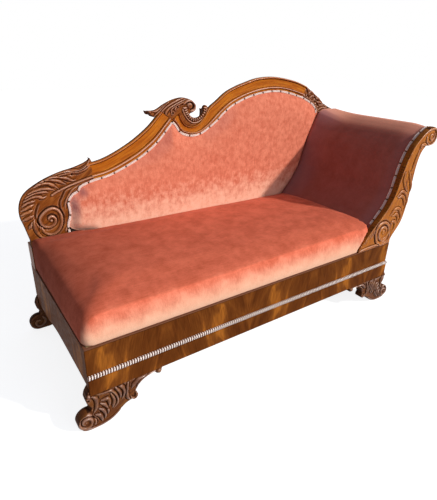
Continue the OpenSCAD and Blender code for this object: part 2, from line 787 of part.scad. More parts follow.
module seat_hessian() {
    edge = seat_inset + 6;
    color(jute) union() {
        translate([edge, edge, rail_top])
            cube([arm_inner[0][0] - 2 * edge, crest_y - 2 * edge, hessian_t]);
        translate([post_w + edge, facade_t + edge, rail_top])
            cube([board_x - post_w - 2 * edge, crest_back - facade_t - 2 * edge, hessian_t]);
    }
}

seat_z = rail_top + hessian_t + soft_gap;
seat_radius = 34;

// Where the seat meets the arm at height z and depth y
facade_line = [for (p = curve(arm_inner)) [p[1], p[0]]];
function seat_right(z, y) = let (x = lookup(z, facade_line))
    y < facade_t + soft_gap ? x - soft_gap
    : x + roll_in - 2 - 1.42 * mid_swell * ease((y - facade_t) / mid_run)
        - 1.9 * arm_swell * pow(max(0, (y - pad_end + swell_run + 2) / (swell_run + 2)), 2);

// One level ring of the seat: z its height, in = how far its edge has drawn in. The back
// edge and the back left corner stand nearly upright, the front and its left corner are round.
// At the back left the cloth runs on past the block under the scroll, less so near its top.
seat_back_y = crest_y - back_swell - 2;
end_inset = 3;
head_y = crest_y - 1;
head_x = 300;
function seat_ring(z, in) = let (near = seat_inset + in, upright = end_inset + in * 0.04,
    run_on = max(0.02, 1 - max(0, z - seat_z - 75) / 60),
    head = head_y - in * 0.06, tail = head + (crest_back - 2 - head_y) * run_on,
    yb = seat_back_y - in * 0.12, r = seat_radius, in_r = 0.12 * max(0, in),
    full = seat_inset + in * 0.5, right = seat_right(z, yb) - in_r)
    concat(arc([near + r, near + r], r, 180, 270, 5),
        [for (k = [1:9]) let (y = near + (full - near) * pow(k / 9, 2))
            [near + r + (seat_right(z, y) - in_r - near - r) * k / 9, y]],
        [for (v = [0.04, 0.08, 0.15, 0.3, 0.5, 0.7, 0.82, 0.91, 1]) let (y = full + (yb - full) * v)
            [seat_right(z, y) - in_r, y]],
        [for (k = [8:-1:0]) [head_x + (right - head_x) * k / 9, yb]],
        [for (x = [262, 230, 205, 185]) [x, yb + back_swell * (1 - side_swell(x))]],
        [[150, head], [post_x - soft_gap, head], [post_x - soft_gap, tail], [upright + 1.5, tail],
        [upright, tail - 2], [upright, head - 6]],
        [for (k = [3:-1:1]) [near + (upright - near) * k / 4, near + r + (yb - near - r) * k / 4]]);

module seat_cushion() {
    levels = [[0, 1], [8, -1], [34, -3], [58, -1], [78, 6], [93, 17], [105, 34], [114, 60],
        [122, 100], [129, 155], [seat_crown, 225]];
    color(velvet) skin([for (l = levels)
        [for (p = seat_ring(seat_z + l[0], l[1])) [p[0], p[1], seat_z + l[0]]]]);
}

placed() front_rail();
placed() left_rail();
placed() right_rail();
placed() back_rail();
placed() front_apron();
placed() rope_moulding();
placed() seat_battens();
placed() corner_blocks();
placed() corner_screws();
placed() foot_front_left();
placed() foot_front_right();
placed() foot_back_left();
placed() foot_back_right();
placed() crest_scroll();
placed() crest_rail_low();
placed() crest_rail_high();
placed() crest_shell();
placed() crest_leaf();
placed() back_post_left();
placed() back_stile();
placed() back_bottom_rail();
placed() back_webbing();
placed() back_hessian();
placed() back_pad();
placed() back_cover();
placed() back_gimp();
placed() back_gimp_nails();
placed() arm_facade();
placed() arm_back_board();
placed() arm_top_rail();
placed() arm_tack_rail();
placed() arm_webbing();
placed() arm_pad();
placed() arm_cover();
placed() arm_gimp();
placed() arm_gimp_nails();
placed() seat_webbing();
placed() seat_springs();
placed() seat_hessian();
placed() seat_cushion();
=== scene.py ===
# Recamier: carved mahogany crest, arm and feet, flame veneered rails with a rope moulding,
# coral velvet upholstery edged with gimp braid. Lengths in this file are millimetres along the
# couch's drawing axes (x along the front rail, y from its face to the back, z up) unless a
# comment says metres.

import math

import bmesh
import bpy
import numpy as np
from mathutils import Matrix, Vector
from mathutils.geometry import delaunay_2d_cdt


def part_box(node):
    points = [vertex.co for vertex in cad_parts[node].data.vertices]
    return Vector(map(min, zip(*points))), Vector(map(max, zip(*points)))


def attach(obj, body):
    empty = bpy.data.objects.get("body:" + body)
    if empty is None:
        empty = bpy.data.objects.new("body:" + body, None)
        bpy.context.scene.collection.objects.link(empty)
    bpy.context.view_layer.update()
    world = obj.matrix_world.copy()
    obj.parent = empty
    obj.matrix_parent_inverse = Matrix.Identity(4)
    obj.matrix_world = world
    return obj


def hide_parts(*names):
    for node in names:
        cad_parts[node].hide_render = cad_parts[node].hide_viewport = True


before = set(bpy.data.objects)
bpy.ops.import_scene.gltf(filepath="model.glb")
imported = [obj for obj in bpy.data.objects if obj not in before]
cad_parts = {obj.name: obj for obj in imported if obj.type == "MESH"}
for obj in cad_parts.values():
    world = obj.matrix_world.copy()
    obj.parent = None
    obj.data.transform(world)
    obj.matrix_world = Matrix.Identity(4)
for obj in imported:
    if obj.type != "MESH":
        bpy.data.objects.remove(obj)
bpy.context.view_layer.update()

# Sizes of the frame

MM = 0.001
rail_low, rail_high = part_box("front_rail")
DRAWING_START = [rail_low.x / MM, rail_low.y / MM, 0]
RAIL_LEN = (rail_high.x - rail_low.x) / MM
RAIL_TOP = rail_high.z / MM
RAIL_BOTTOM = rail_low.z / MM
RAIL_T = (rail_high.y - rail_low.y) / MM
BACK_Y = (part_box("back_rail")[1].y - rail_low.y) / MM
CREST_BACK = (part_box("back_rail")[0].y - rail_low.y) / MM
CREST_T = 40
CREST_Y = CREST_BACK - CREST_T
BOARD_Y = CREST_BACK - 28
LIP = 12
POST_H = 104
BEAD_H = 8
FACADE_T = 30
FACADE_LIP = 22
FACADE_REBATE = 13
APRON_T = 7
APRON_H = 62
ROPE_H = 16
ROPE_OUT = 10
SEAT_INSET = 3
SEAT_CROWN = 134
BACK_SWELL = 25
ARM_SWELL = 40
GIMP_W = 10
ARM_GIMP_W = 13
GIMP_T = 3
GIMP_STEP = 2.0
GIMP_TILT = 25
NAIL_PITCH = 58
SOFT_GAP = 0.3
COVER_T = 3
ARM_COVER_IN = 8
ARM_BOARD_IN = 42
ROLL = np.array([RAIL_LEN + 160, RAIL_TOP + 502])
ROLL_R = 44
TOP_RAIL_R = 17
SHELL = np.array([RAIL_LEN / 2 - 7, RAIL_TOP + 595])


# Curves and lines in the plane of the couch's front: x along, z up


def smooth(points, steps=4):
    """Smooth curve through all points, with this many steps between neighbours."""
    p = np.asarray(points, float)
    ends = np.vstack([p[:1], p, p[-1:]])
    run = []
    for i in range(len(p) - 1):
        a, b, c, d = ends[i:i + 4]
        for k in range(steps):
            t = k / steps
            run.append(0.5 * (2 * b + (c - a) * t + (2 * a - 5 * b + 4 * c - d) * t ** 2
                              + (3 * b - a - 3 * c + d) * t ** 3))
    return np.array(run + [p[-1]])


def arc(centre, radius, start, end, steps=12):
    """Arc about a centre, its angles in degrees."""
    turn = np.radians(np.linspace(start, end, steps + 1))
    return np.asarray(centre) + radius * np.column_stack([np.cos(turn), np.sin(turn)])


def winding(centre, start_r, end_r, start, end):
    """Spiral that winds in from one radius to another, its angles in degrees."""
    share = np.linspace(0, 1, 41)
    turn = np.radians(start + (end - start) * share)
    radius = start_r * (end_r / start_r) ** share
    return np.asarray(centre) + radius[:, None] * np.column_stack([np.cos(turn), np.sin(turn)])


def side_of(line):
    """Unit vector to the left of a line at each of its points."""
    line = np.asarray(line, float)
    ahead = np.vstack([line[1:], line[-1:]])
    behind = np.vstack([line[:1], line[:-1]])
    d = ahead - behind
    d /= np.linalg.norm(d, axis=1)[:, None]
    return np.column_stack([-d[:, 1], d[:, 0]])


def beside(line, width):
    """A line moved to its left by a width."""
    return np.asarray(line, float) + side_of(line) * np.reshape(width, (-1, 1))


def lengths(line):
    """Length gone by at each point of a line."""
    return np.concatenate([[0], np.cumsum(np.linalg.norm(np.diff(line, axis=0), axis=1))])


def evenly(line, pitch):
    """Points a fixed pitch apart along a line."""
    gone = lengths(line)
    n = max(2, int(round(gone[-1] / pitch)) + 1)
    at = np.linspace(0, gone[-1], n)
    return np.column_stack([np.interp(at, gone, line[:, k]) for k in range(line.shape[1])])


def ease(t):
    return np.sin(np.clip(t, 0, 1) * math.pi / 2)


def soft_step(t):
    t = np.clip(t, 0, 1)
    return t * t * (3 - 2 * t)


def within(x, z, outline):
    """Which of the points lie inside a closed outline."""
    hit = np.zeros(np.shape(x), bool)
    for (x0, z0), (x1, z1) in zip(outline, np.roll(outline, -1, 0)):
        if z0 != z1:
            hit ^= ((z0 > z) != (z1 > z)) & (x < (x1 - x0) * (z - z0) / (z1 - z0) + x0)
    return hit


# Outlines of the boards, as the frame has them

def from_left(points):
    return np.asarray(points, float) + [0, RAIL_TOP]


def from_right(points):
    return np.asarray(points, float) + [RAIL_LEN, RAIL_TOP]


def from_shell(points):
    return np.asarray(points, float) + SHELL


LOW_START = 280
HIGH_START = RAIL_LEN - 91


def low_run(points):
    return [[LOW_START + s * (SHELL[0] - 172 - LOW_START), RAIL_TOP + z] for s, z in points]


def high_run(points):
    return [[HIGH_START + s * (SHELL[0] + 85 - HIGH_START), RAIL_TOP + z] for s, z in points]


scroll_outer = from_left([[0, 137], [-12, 196], [-22, 239], [-19, 280], [-5, 314], [18, 338],
                          [57, 361], [98, 379], [149, 395], [204, 406], [253, 414]])
scroll_inner = from_left([[150, 137], [150, 174], [163, 218], [162, 270], [181, 299],
                          [207, 313], [215, 327], [238, 338], [280, 350]])
low_outer = np.vstack([scroll_outer[-1:],
                       low_run([[0.134, 427], [0.37, 455], [0.607, 493], [0.833, 541]]),
                       from_shell([[-172, -5], [-160, 5]])])
low_inner = np.vstack([scroll_inner[-1:],
                       low_run([[0.213, 361], [0.456, 388], [0.695, 422], [0.938, 472]]),
                       from_shell([[-132, -63], [-106, -35]])])
leaf_outer = from_right([[-69, 682], [-19, 654], [34, 622], [89, 585], [145, 561], [168, 550]])
leaf_inner = from_right([[-91, 632], [-42, 611], [-4, 590], [19, 565], [25, 546]])
high_outer = np.vstack([from_shell([[-67, -10], [-58, -35], [-43, -54], [-22, -65], [3, -68],
                                    [31, -58], [58, -32], [85, 8]]),
                        high_run([[0.931, 632], [0.847, 667], [0.763, 689], [0.659, 708],
                                  [0.538, 726], [0.397, 732], [0.261, 726], [0.099, 708]]),
                        leaf_outer[:1]])
high_inner = np.vstack([from_shell([[-106, -35], [-85, -54], [-67, -81], [-41, -96], [-5, -104],
                                    [43, -97], [91, -71], [132, -43]]),
                        high_run([[0.861, 582], [0.785, 611], [0.714, 629], [0.63, 646],
                                  [0.526, 660], [0.398, 669], [0.272, 668], [0.133, 653]]),
                        leaf_inner[:1]])
arm_inner = from_right([[-237, 0], [-232, 27], [-163, 103], [-112, 150], [-69, 198], [-37, 259],
                        [-19, 334], [1, 402], [32, 460], [75, 503], [113, 528], [145, 544]])
arm_outer = from_right([[132, 459], [104, 431], [88, 374], [84, 301], [83, 244], [77, 172],
                        [57, 96], [2, 26], [0, 0]])
opening_top = np.vstack([smooth(scroll_inner, 6), smooth(low_inner, 6)[1:],
                         smooth(high_inner, 6)[1:], smooth(leaf_inner, 6)[1:]])


# Materials

def linear(code):
    """An sRGB hex colour as linear red, green, blue and alpha."""
    parts = [int(code[i:i + 2], 16) / 255 for i in (1, 3, 5)]
    return tuple(c / 12.92 if c <= 0.04045 else ((c + 0.055) / 1.055) ** 2.4
                 for c in parts) + (1.0,)


def feed(tree, node, settings=None, links=None):
    """Sets a node's properties, inputs and ramp stops, and links what feeds it."""
    for key, value in (settings or {}).items():
        if key == "stops":
            elements = node.color_ramp.elements
            while len(elements) < len(value):
                elements.new(0.5)
            for element, (place, colour) in zip(elements, value):
                element.position = place
                element.color = linear(colour)
        elif isinstance(key, str) and hasattr(node, key):
            setattr(node, key, value)
        else:
            node.inputs[key].default_value = value
    for key, source in (links or {}).items():
        tree.links.new(source, node.inputs[key])
    return node


def add(tree, kind, settings=None, links=None):
    """Adds a shader node of a kind."""
    return feed(tree, tree.nodes.new("ShaderNode" + kind), settings, links)


def remap(tree, source, *ends):
    """Spreads a value from the first two of the ends to the last two, or to 0 and 1."""
    return add(tree, "MapRange", dict(enumerate(ends, 1)), {0: source})


def maths(tree, operation, *terms):
    """A calculation with sockets and plain numbers."""
    numbers = {i: term for i, term in enumerate(terms) if isinstance(term, (int, float))}
    sockets = {i: term for i, term in enumerate(terms) if i not in numbers}
    return add(tree, "Math", {"operation": operation, **numbers}, sockets)


def stretch(tree, source, scale):
    return add(tree, "VectorMath", {"operation": "MULTIPLY", 1: scale}, {0: source})


def tint(tree, source, share, code):
    """A colour turned towards a fixed one by a share."""
    return add(tree, "Mix", {"data_type": "RGBA", 7: linear(code)}, {0: share, 6: source})


def shade(tree, colour, factor):
    """A colour times a factor."""
    return add(tree, "Mix", {"data_type": "RGBA", "blend_type": "MULTIPLY", 0: 1.0},
               {6: colour, 7: factor})


def read_mark(tree, key):
    """What the mesh's points say under this key."""
    return add(tree, "Attribute", {"attribute_name": key})


def start_material(name):
    """An empty material with its surface shader and its output."""
    material = bpy.data.materials.new(name)
    material.use_nodes = True
    tree = material.node_tree
    tree.nodes.clear()
    surface = add(tree, "BsdfPrincipled")
    add(tree, "OutputMaterial", links={"Surface": surface.outputs[0]})
    return material, tree, surface


def polished_wood(name, dark, middle, light, rough, streak, run_scale, wear):
    """French polished hardwood. The grain runs along the first number of the grain mark, in
    fine dark pores and slow colour bands; the carved recesses are darkened by dirt and painted
    shade, and the raised parts are painted pale by wear and a painted highlight. Run_scale is how
    fast the colour changes along and across the grain, per millimetre, and wear how strongly the
    raised parts are painted pale."""
    material, tree, surface = start_material(name)
    grain = read_mark(tree, "grain")
    bands = stretch(tree, grain.outputs["Vector"], run_scale)
    figure = add(tree, "TexNoise", {"Scale": 1.0, "Detail": 5.0, "Roughness": 0.55,
                                              "Distortion": streak}, {0: bands.outputs[0]})
    colour = add(tree, "ValToRGB", {"stops": [(0.28, dark), (0.5, middle), (0.72, light)]},
                 {0: figure.outputs[0]})
    # Pores: dark flecks about 1 mm wide and 12 mm long
    fleck_space = stretch(tree, grain.outputs["Vector"], (0.08, 1.1, 1.1))
    flecks = add(tree, "TexNoise", {"Scale": 1.0, "Detail": 2.0}, {0: fleck_space.outputs[0]})
    pores = remap(tree, flecks.outputs[0], 0.56, 0.7, 1.0, 0.72)
    pored = shade(tree, colour.outputs[0], pores.outputs[0])
    # Dirt and painted shade: the carved recesses darken towards a near-black brown
    recess = read_mark(tree, "recess")
    dirt_and_shade = remap(tree, recess.outputs["Fac"], 0.06, 0.62, 0.0, 0.94)
    grimed_and_shaded = tint(tree, pored.outputs[2], dirt_and_shade.outputs[0], "#2a1208")
    # Wear and painted highlight: the raised parts turn pale pink in patches
    raised = read_mark(tree, "raised")
    rubbed = add(tree, "TexNoise", {"Scale": 90.0, "Detail": 3.0})
    worn = maths(tree, "MULTIPLY", raised.outputs["Fac"], rubbed.outputs[0])
    worn_highlight_share = remap(tree, worn.outputs[0], 0.1, 0.46, 0.0, wear)
    finished = tint(tree, grimed_and_shaded.outputs[2], worn_highlight_share.outputs[0], "#d39a7c")
    shine = remap(tree, recess.outputs["Fac"], 0.0, 0.6, rough, 0.75)
    bump = add(tree, "Bump", {"Strength": 0.12, "Distance": 0.0004},
               {"Height": flecks.outputs[0]})
    # The polish is left where hands and dusters rub it
    polish = remap(tree, raised.outputs["Fac"], 0.1, 0.75, 0.1, 1.0)
    feed(tree, surface, {}, {"Specular IOR Level": polish.outputs[0], "Normal": bump.outputs[0],
                             "Base Color": finished.outputs[2], "Roughness": shine.outputs[0]})
    return material


def flame_veneer():
    """Crotch mahogany veneer, laid in book-matched leaves with the figure standing upright.
    The eye gets brown wood with fine upright feathering that leans into a V at each joint, and
    orange flames a hand wide where the grain turns, under a worn shellac polish. The top edge
    is rubbed pale, with a dark line of dirt under it."""
    material, tree, surface = start_material("flame_mahogany_veneer")
    place = add(tree, "TexCoord")
    parts = add(tree, "SeparateXYZ", links={0: place.outputs["Object"]})
    # Along the rail, whichever way it runs
    run = maths(tree, "ADD", parts.outputs[0], parts.outputs[1])
    # Leaves of veneer 0.36 m wide, each the mirror of its neighbour
    shifted = maths(tree, "ADD", run.outputs[0], 2.33)
    folded = maths(tree, "PINGPONG", shifted.outputs[0], 0.36)
    # The figure leans: its upright lines move towards the joint as they rise
    lean = maths(tree, "MULTIPLY", parts.outputs[2], 0.22)
    leaned = maths(tree, "ADD", folded.outputs[0], lean.outputs[0])
    leaf = add(tree, "CombineXYZ", links={0: leaned.outputs[0], 2: parts.outputs[2]})
    wide = stretch(tree, leaf.outputs[0], (17.0, 1.0, 6.0))
    flame = add(tree, "TexNoise", {"Scale": 1.0, "Detail": 3.0, "Roughness": 0.55,
                                             "Distortion": 0.9}, {0: wide.outputs[0]})
    colour = add(tree, "ValToRGB", {"stops": [(0.3, "#5c2e10"), (0.48, "#6b3915"),
                                                        (0.6, "#7b441a"), (0.72, "#ab6524")]},
                 {0: flame.outputs[0]})
    # Feather lines up to 5 mm apart
    fine = stretch(tree, leaf.outputs[0], (210.0, 1.0, 12.0))
    feather = add(tree, "TexNoise", {"Scale": 1.0, "Detail": 3.0, "Distortion": 0.8},
                  {0: fine.outputs[0]})
    lines = remap(tree, feather.outputs[0], 0.35, 0.65, 0.8, 1.14)
    drawn = shade(tree, colour.outputs[0], lines.outputs[0])
    top = RAIL_TOP * MM
    edge = remap(tree, parts.outputs[2], top - 0.0065, top - 0.004, 0.0, 0.7)
    lined = tint(tree, drawn.outputs[2], edge.outputs[0], "#2c160b")
    rubbed = remap(tree, parts.outputs[2], top - 0.0036, top - 0.0026)
    bared = tint(tree, lined.outputs[2], rubbed.outputs[0], "#80533d")
    worn = add(tree, "TexNoise", {"Scale": 22.0, "Detail": 6.0})
    shine = remap(tree, worn.outputs[0], 0.3, 0.7, 0.34, 0.55)
    bump = add(tree, "Bump", {"Strength": 0.1, "Distance": 0.0004},
               {"Height": feather.outputs[0]})
    feed(tree, surface, {"Specular IOR Level": 0.012},
         {"Base Color": bared.outputs[2], "Roughness": shine.outputs[0], "Normal": bump.outputs[0]})
    return material


def cut_velvet(name, deep, middle, pale, low, high, front_only, patch, uneven, sheen,
               left_share, level_highlight, turned_away_shade):
    """Cotton velvet with a short cut pile. Brushed pile shows as soft mottled patches and fine
    strokes: along the couch where the cloth lies flat, upright where it hangs. Towards the
    lower edge the cloth is painted pale, as a painted sheen. Low and high are the heights in
    metres between which it turns, front_only keeps the painted sheen to what faces the front and
    paints what faces the front up to 1.27 times brighter, patch is how many brushed patches go into
    a metre, and uneven says how ragged the change is. Left_share is how light the painted shade
    leaves the cloth's top at the left end, level_highlight the colour of a painted highlight where
    it lies level, and turned_away_shade the colour of painted shade where it turns away to the left."""
    material, tree, surface = start_material(name)
    place = add(tree, "TexCoord")
    parts = add(tree, "SeparateXYZ", links={0: place.outputs["Object"]})
    facing = add(tree, "NewGeometry")
    facing_parts = add(tree, "SeparateXYZ", links={0: facing.outputs["Normal"]})
    # Brush marks: patches 25 to 60 mm wide, strokes 4 mm wide and 25 mm long
    patches = add(tree, "TexNoise", {"Scale": patch, "Detail": 5.0, "Roughness": 0.6},
                  {0: place.outputs["Object"]})
    hang_space = stretch(tree, place.outputs["Object"], (230.0, 80.0, 42.0))
    hang = add(tree, "TexNoise", {"Scale": 1.0, "Detail": 4.0, "Roughness": 0.55},
               {0: hang_space.outputs[0]})
    lie_space = stretch(tree, place.outputs["Object"], (36.0, 230.0, 60.0))
    lie = add(tree, "TexNoise", {"Scale": 1.0, "Detail": 4.0, "Roughness": 0.6},
              {0: lie_space.outputs[0]})
    flat = remap(tree, facing_parts.outputs[2], 0.45, 0.85)
    strokes = add(tree, "Mix", {"data_type": "FLOAT"},
                  {0: flat.outputs[0], 2: hang.outputs[0], 3: lie.outputs[0]})
    shift = remap(tree, strokes.outputs[0], 0.25, 0.75, -uneven * 0.45, uneven * 0.45)
    drift = remap(tree, patches.outputs[0], 0.3, 0.7, -uneven, uneven)
    both = maths(tree, "ADD", shift.outputs[0], drift.outputs[0])
    # Painted sheen: the cloth turns pale below the heights low to high
    height = add(tree, "MapRange", {1: high, 2: low, "clamp": False}, {0: parts.outputs[2]})
    level = maths(tree, "ADD", both.outputs[0], height.outputs[0])
    turned = add(tree, "MapRange", {1: 0.0, 2: 1.0, "interpolation_type": "SMOOTHSTEP"},
                 {0: level.outputs[0]})
    share = turned.outputs[0]
    front = remap(tree, facing_parts.outputs[1], -0.1, -0.7)
    if front_only:
        faced = maths(tree, "MULTIPLY", share, front.outputs[0])
        share = faced.outputs[0]
    mottled = maths(tree, "MULTIPLY_ADD", strokes.outputs[0], 0.5, patches.outputs[0])
    ground = add(tree, "ValToRGB", {"stops": [(0.5, deep), (0.9, middle)]},
                 {0: mottled.outputs[0]})
    # Painted shade: the cloth darkens towards the left end at the back, and what faces the front is
    # painted brighter, up to 1.27 times on the seat
    corner = maths(tree, "SUBTRACT", parts.outputs[0], parts.outputs[1])
    painted_left_shade = add(tree, "MapRange", {1: -1.1, 2: -0.25, 3: left_share, 4: 1.0,
                                           "interpolation_type": "SMOOTHSTEP"}, {0: corner.outputs[0]})
    front_lit = maths(tree, "MULTIPLY", front.outputs[0], 1.27 if front_only else 1.0)
    lit = maths(tree, "MAXIMUM", painted_left_shade.outputs[0], front_lit.outputs[0])
    left_shaded = shade(tree, ground.outputs[0], lit.outputs[0])
    greyed = left_shaded
    if turned_away_shade:
        # Painted shade: cloth that turns away to the left is tinted towards the shade colour
        away = remap(tree, facing_parts.outputs[0], -0.12, -0.7, 0.0, 0.8)
        greyed = tint(tree, left_shaded.outputs[2], away.outputs[0], turned_away_shade)
    # Painted highlight where the cloth lies level, as on the arm's roll
    level_share = remap(tree, facing_parts.outputs[2], 0.74, 0.94)
    level_highlighted = tint(tree, greyed.outputs[2], level_share.outputs[0], level_highlight) if level_highlight else greyed
    # Painted sheen tinted in here
    cloth = tint(tree, level_highlighted.outputs[2], share, pale)
    # Pile, drawn three times its real 0.4 mm so that it shows
    pile = add(tree, "TexNoise", {"Scale": 850.0, "Detail": 2.0}, {0: place.outputs["Object"]})
    speck = remap(tree, pile.outputs[0], 0.3, 0.7, 0.86, 1.12)
    flecked = shade(tree, cloth.outputs[2], speck.outputs[0])
    soft = add(tree, "Bump", {"Strength": 0.25, "Distance": 0.0008},
               {"Height": pile.outputs[0]})
    brushed = add(tree, "Bump", {"Strength": 0.12, "Distance": 0.004},
                  {"Height": strokes.outputs[0], "Normal": soft.outputs[0]})
    feed(tree, surface, {"Roughness": 0.95, "Specular IOR Level": 0.08, "Sheen Weight": sheen,
                         "Sheen Roughness": 0.35, "Sheen Tint": linear("#f0b8ac")},
         {"Base Color": flecked.outputs[2], "Normal": brushed.outputs[0]})
    return material


def woven_cloth(name, dark, light, pitch, rough, marked):
    """Plain woven or plaited thread: over and under at a pitch in millimetres, along the grain
    mark if the piece has one, with the hollows between the threads darker."""
    material, tree, surface = start_material(name)
    if marked:
        threads = read_mark(tree, "grain").outputs["Vector"]
        turns = 2 * math.pi / pitch
    else:
        threads = add(tree, "TexCoord").outputs["Object"]
        turns = 2 * math.pi / (pitch * MM)
    scaled = add(tree, "VectorMath", {"operation": "SCALE", "Scale": turns}, {0: threads})
    parts = add(tree, "SeparateXYZ", links={0: scaled.outputs[0]})
    crossing = maths(tree, "ADD", parts.outputs[1], parts.outputs[2])
    warp = maths(tree, "SINE", parts.outputs[0])
    weft = maths(tree, "SINE", crossing.outputs[0])
    over = maths(tree, "MULTIPLY", warp.outputs[0], weft.outputs[0])
    slub = add(tree, "TexNoise", {"Scale": 160.0, "Detail": 4.0})
    mixed = maths(tree, "MULTIPLY_ADD", over.outputs[0], 0.22, slub.outputs[0])
    colour = add(tree, "ValToRGB", {"stops": [(0.25, dark), (0.65, light)]},
                 {0: mixed.outputs[0]})
    # Painted shade: the gimp darkens where it is pinched in at each nail
    recess = read_mark(tree, "recess")
    tacked = tint(tree, colour.outputs[0], recess.outputs["Fac"], "#2b1b16")
    bump = add(tree, "Bump", {"Strength": 0.5, "Distance": 0.0006}, {"Height": mixed.outputs[0]})
    feed(tree, surface, {"Roughness": rough, "Specular IOR Level": 0.2, "Sheen Weight": 0.2},
         {"Base Color": tacked.outputs[2], "Normal": bump.outputs[0]})
    return material


def sawn_wood(name, dark, light, rough):
    """Plain sawn and planed beech, unpolished: pale, with long faint lines and short flecks."""
    material, tree, surface = start_material(name)
    place = add(tree, "TexCoord")
    long_way = stretch(tree, place.outputs["Object"], (6.0, 90.0, 90.0))
    lines = add(tree, "TexNoise", {"Scale": 1.0, "Detail": 6.0, "Distortion": 0.4},
                {0: long_way.outputs[0]})
    colour = add(tree, "ValToRGB", {"stops": [(0.3, dark), (0.65, light)]},
                 {0: lines.outputs[0]})
    bump = add(tree, "Bump", {"Strength": 0.2, "Distance": 0.0006}, {"Height": lines.outputs[0]})
    feed(tree, surface, {"Roughness": rough, "IOR": 1.5},
         {"Base Color": colour.outputs[0], "Normal": bump.outputs[0]})
    return material


def old_metal(name, dark, light, rough):
    """Metal gone dull with age: tarnish lies in blotches a few millimetres across."""
    material, tree, surface = start_material(name)
    place = add(tree, "TexCoord")
    tarnish = add(tree, "TexNoise", {"Scale": 260.0, "Detail": 5.0}, {0: place.outputs["Object"]})
    colour = add(tree, "ValToRGB", {"stops": [(0.35, dark), (0.65, light)]},
                 {0: tarnish.outputs[0]})
    dull = remap(tree, tarnish.outputs[0], 0.3, 0.7, rough + 0.2, rough)
    feed(tree, surface, {"Metallic": 1.0},
         {"Base Color": colour.outputs[0], "Roughness": dull.outputs[0]})
    return material


def pale_moulding():
    """Turned and carved rope moulding, its old pale finish left on the high strands, and the gaps between
    them darkened by dirt and painted shade."""
    material, tree, surface = start_material("pale_rope_moulding")
    recess = read_mark(tree, "recess")
    rubbed = add(tree, "TexNoise", {"Scale": 45.0, "Detail": 5.0})
    mixed = maths(tree, "MULTIPLY_ADD", rubbed.outputs[0], 0.35, -0.17)
    uneven = maths(tree, "ADD", recess.outputs["Fac"], mixed.outputs[0])
    colour = add(tree, "ValToRGB", {"stops": [(0.1, "#fff4ec"), (0.2, "#c9a898"),
                                                        (0.32, "#573120")]}, {0: uneven.outputs[0]})
    feed(tree, surface, {"Roughness": 0.5, "IOR": 1.5}, {"Base Color": colour.outputs[0]})
    return material


CARVED = polished_wood("carved_mahogany", "#5f2e0f", "#844415", "#a15f2a", 0.4, 0.8,
                       (0.012, 0.09, 0.09), 0.85)
FACADE_WOOD = polished_wood("facade_mahogany", "#8a4510", "#b06214", "#c5781e", 0.38, 0.8,
                            (0.012, 0.09, 0.09), 0.6)
# The feet's wood is a darker copy of the carved mahogany: partly the wood's colour, partly painted shade
# low down
FOOT_WOOD = polished_wood("foot_mahogany", "#4a240e", "#673614", "#82501f", 0.42, 0.8,
                          (0.012, 0.09, 0.09), 0.4)
CREST_VENEER = polished_wood("crest_mahogany", "#95470c", "#b46114", "#c97a20", 0.32, 0.5,
                             (0.01, 0.12, 0.12), 0.9)
FLAME = flame_veneer()
SEAT_VELVET = cut_velvet("seat_velvet", "#bd583e", "#dc7054", "#f6c0a0", 0.325, 0.425, True, 18.0, 0.13,
                         0.15, 0.56, None, None)
BACK_VELVET = cut_velvet("back_velvet", "#cb684e", "#e6886b", "#f3bb9f", 0.43, 0.62, False, 40.0, 0.22,
                         0.4, 0.9, None, "#a26c70")
# The arm's velvet is a darker, greyer copy of the coral velvet: partly the cloth's colour, partly painted
# shade for the arm's inside
ARM_VELVET = cut_velvet("arm_velvet", "#9a5549", "#a96155", "#a8767a", 2.0, 3.0, True, 16.0, 0.1,
                        0.5, 1.0, "#f2a284", None)
COVER_VELVET = cut_velvet("cover_velvet", "#a4503c", "#b9614c", "#c87a62", 0.35, 0.5, False, 16.0, 0.2,
                          0.3, 1.0, None, None)
BRAID = woven_cloth("gimp_braid", "#b98a7c", "#fbe9df", 2.2, 0.85, True)
JUTE = woven_cloth("jute_webbing", "#6a5232", "#a68a5c", 2.6, 0.95, False)
# Near black: painted shade for the back's webbing and hessian, seen in the dark space behind the back
GAP_SHADE_JUTE = woven_cloth("gap_shade_hessian", "#17100b", "#2d2118", 2.6, 0.95, False)
BEECH = sawn_wood("sawn_beech", "#94613a", "#be8a57", 0.7)
# Near black: painted shade for the back's bottom rail, seen in the dark gap under the back's left corner
GAP_SHADE_BEECH = sawn_wood("gap_shade_beech", "#1d120b", "#33221a", 0.8)
STEEL = old_metal("dull_spring_steel", "#4b4a4a", "#7d7b78", 0.45)
NAIL_BRASS = old_metal("darkened_brass", "#2a1a10", "#6a4a2a", 0.4)
ROPE_PALE = pale_moulding()


# Meshes

def to_frame(points):
    """Drawing millimetres to the frame's metres."""
    return (np.asarray(points, float) + DRAWING_START) * MM


def at_depth(plane, y):
    """Points x and z in the plane of the couch's front, put at one depth or at a depth each."""
    return np.column_stack([plane[:, 0], np.broadcast_to(np.asarray(y, float), len(plane)), plane[:, 1]])


def wall_faces(first, second):
    """Faces between two closed rings of point numbers."""
    turned = list(range(1, len(first))) + [0]
    return [(first[i], first[j], second[j], second[i]) for i, j in enumerate(turned)]


def filled(ring):
    """Triangles over a closed ring, with the points that they use."""
    edges = [(i, (i + 1) % len(ring)) for i in range(len(ring))]
    return delaunay_2d_cdt([Vector(p) for p in ring], edges, [], 1, 1e-5)


def new_object(name, data):
    obj = bpy.data.objects.new(name, data)
    bpy.context.scene.collection.objects.link(obj)
    return obj


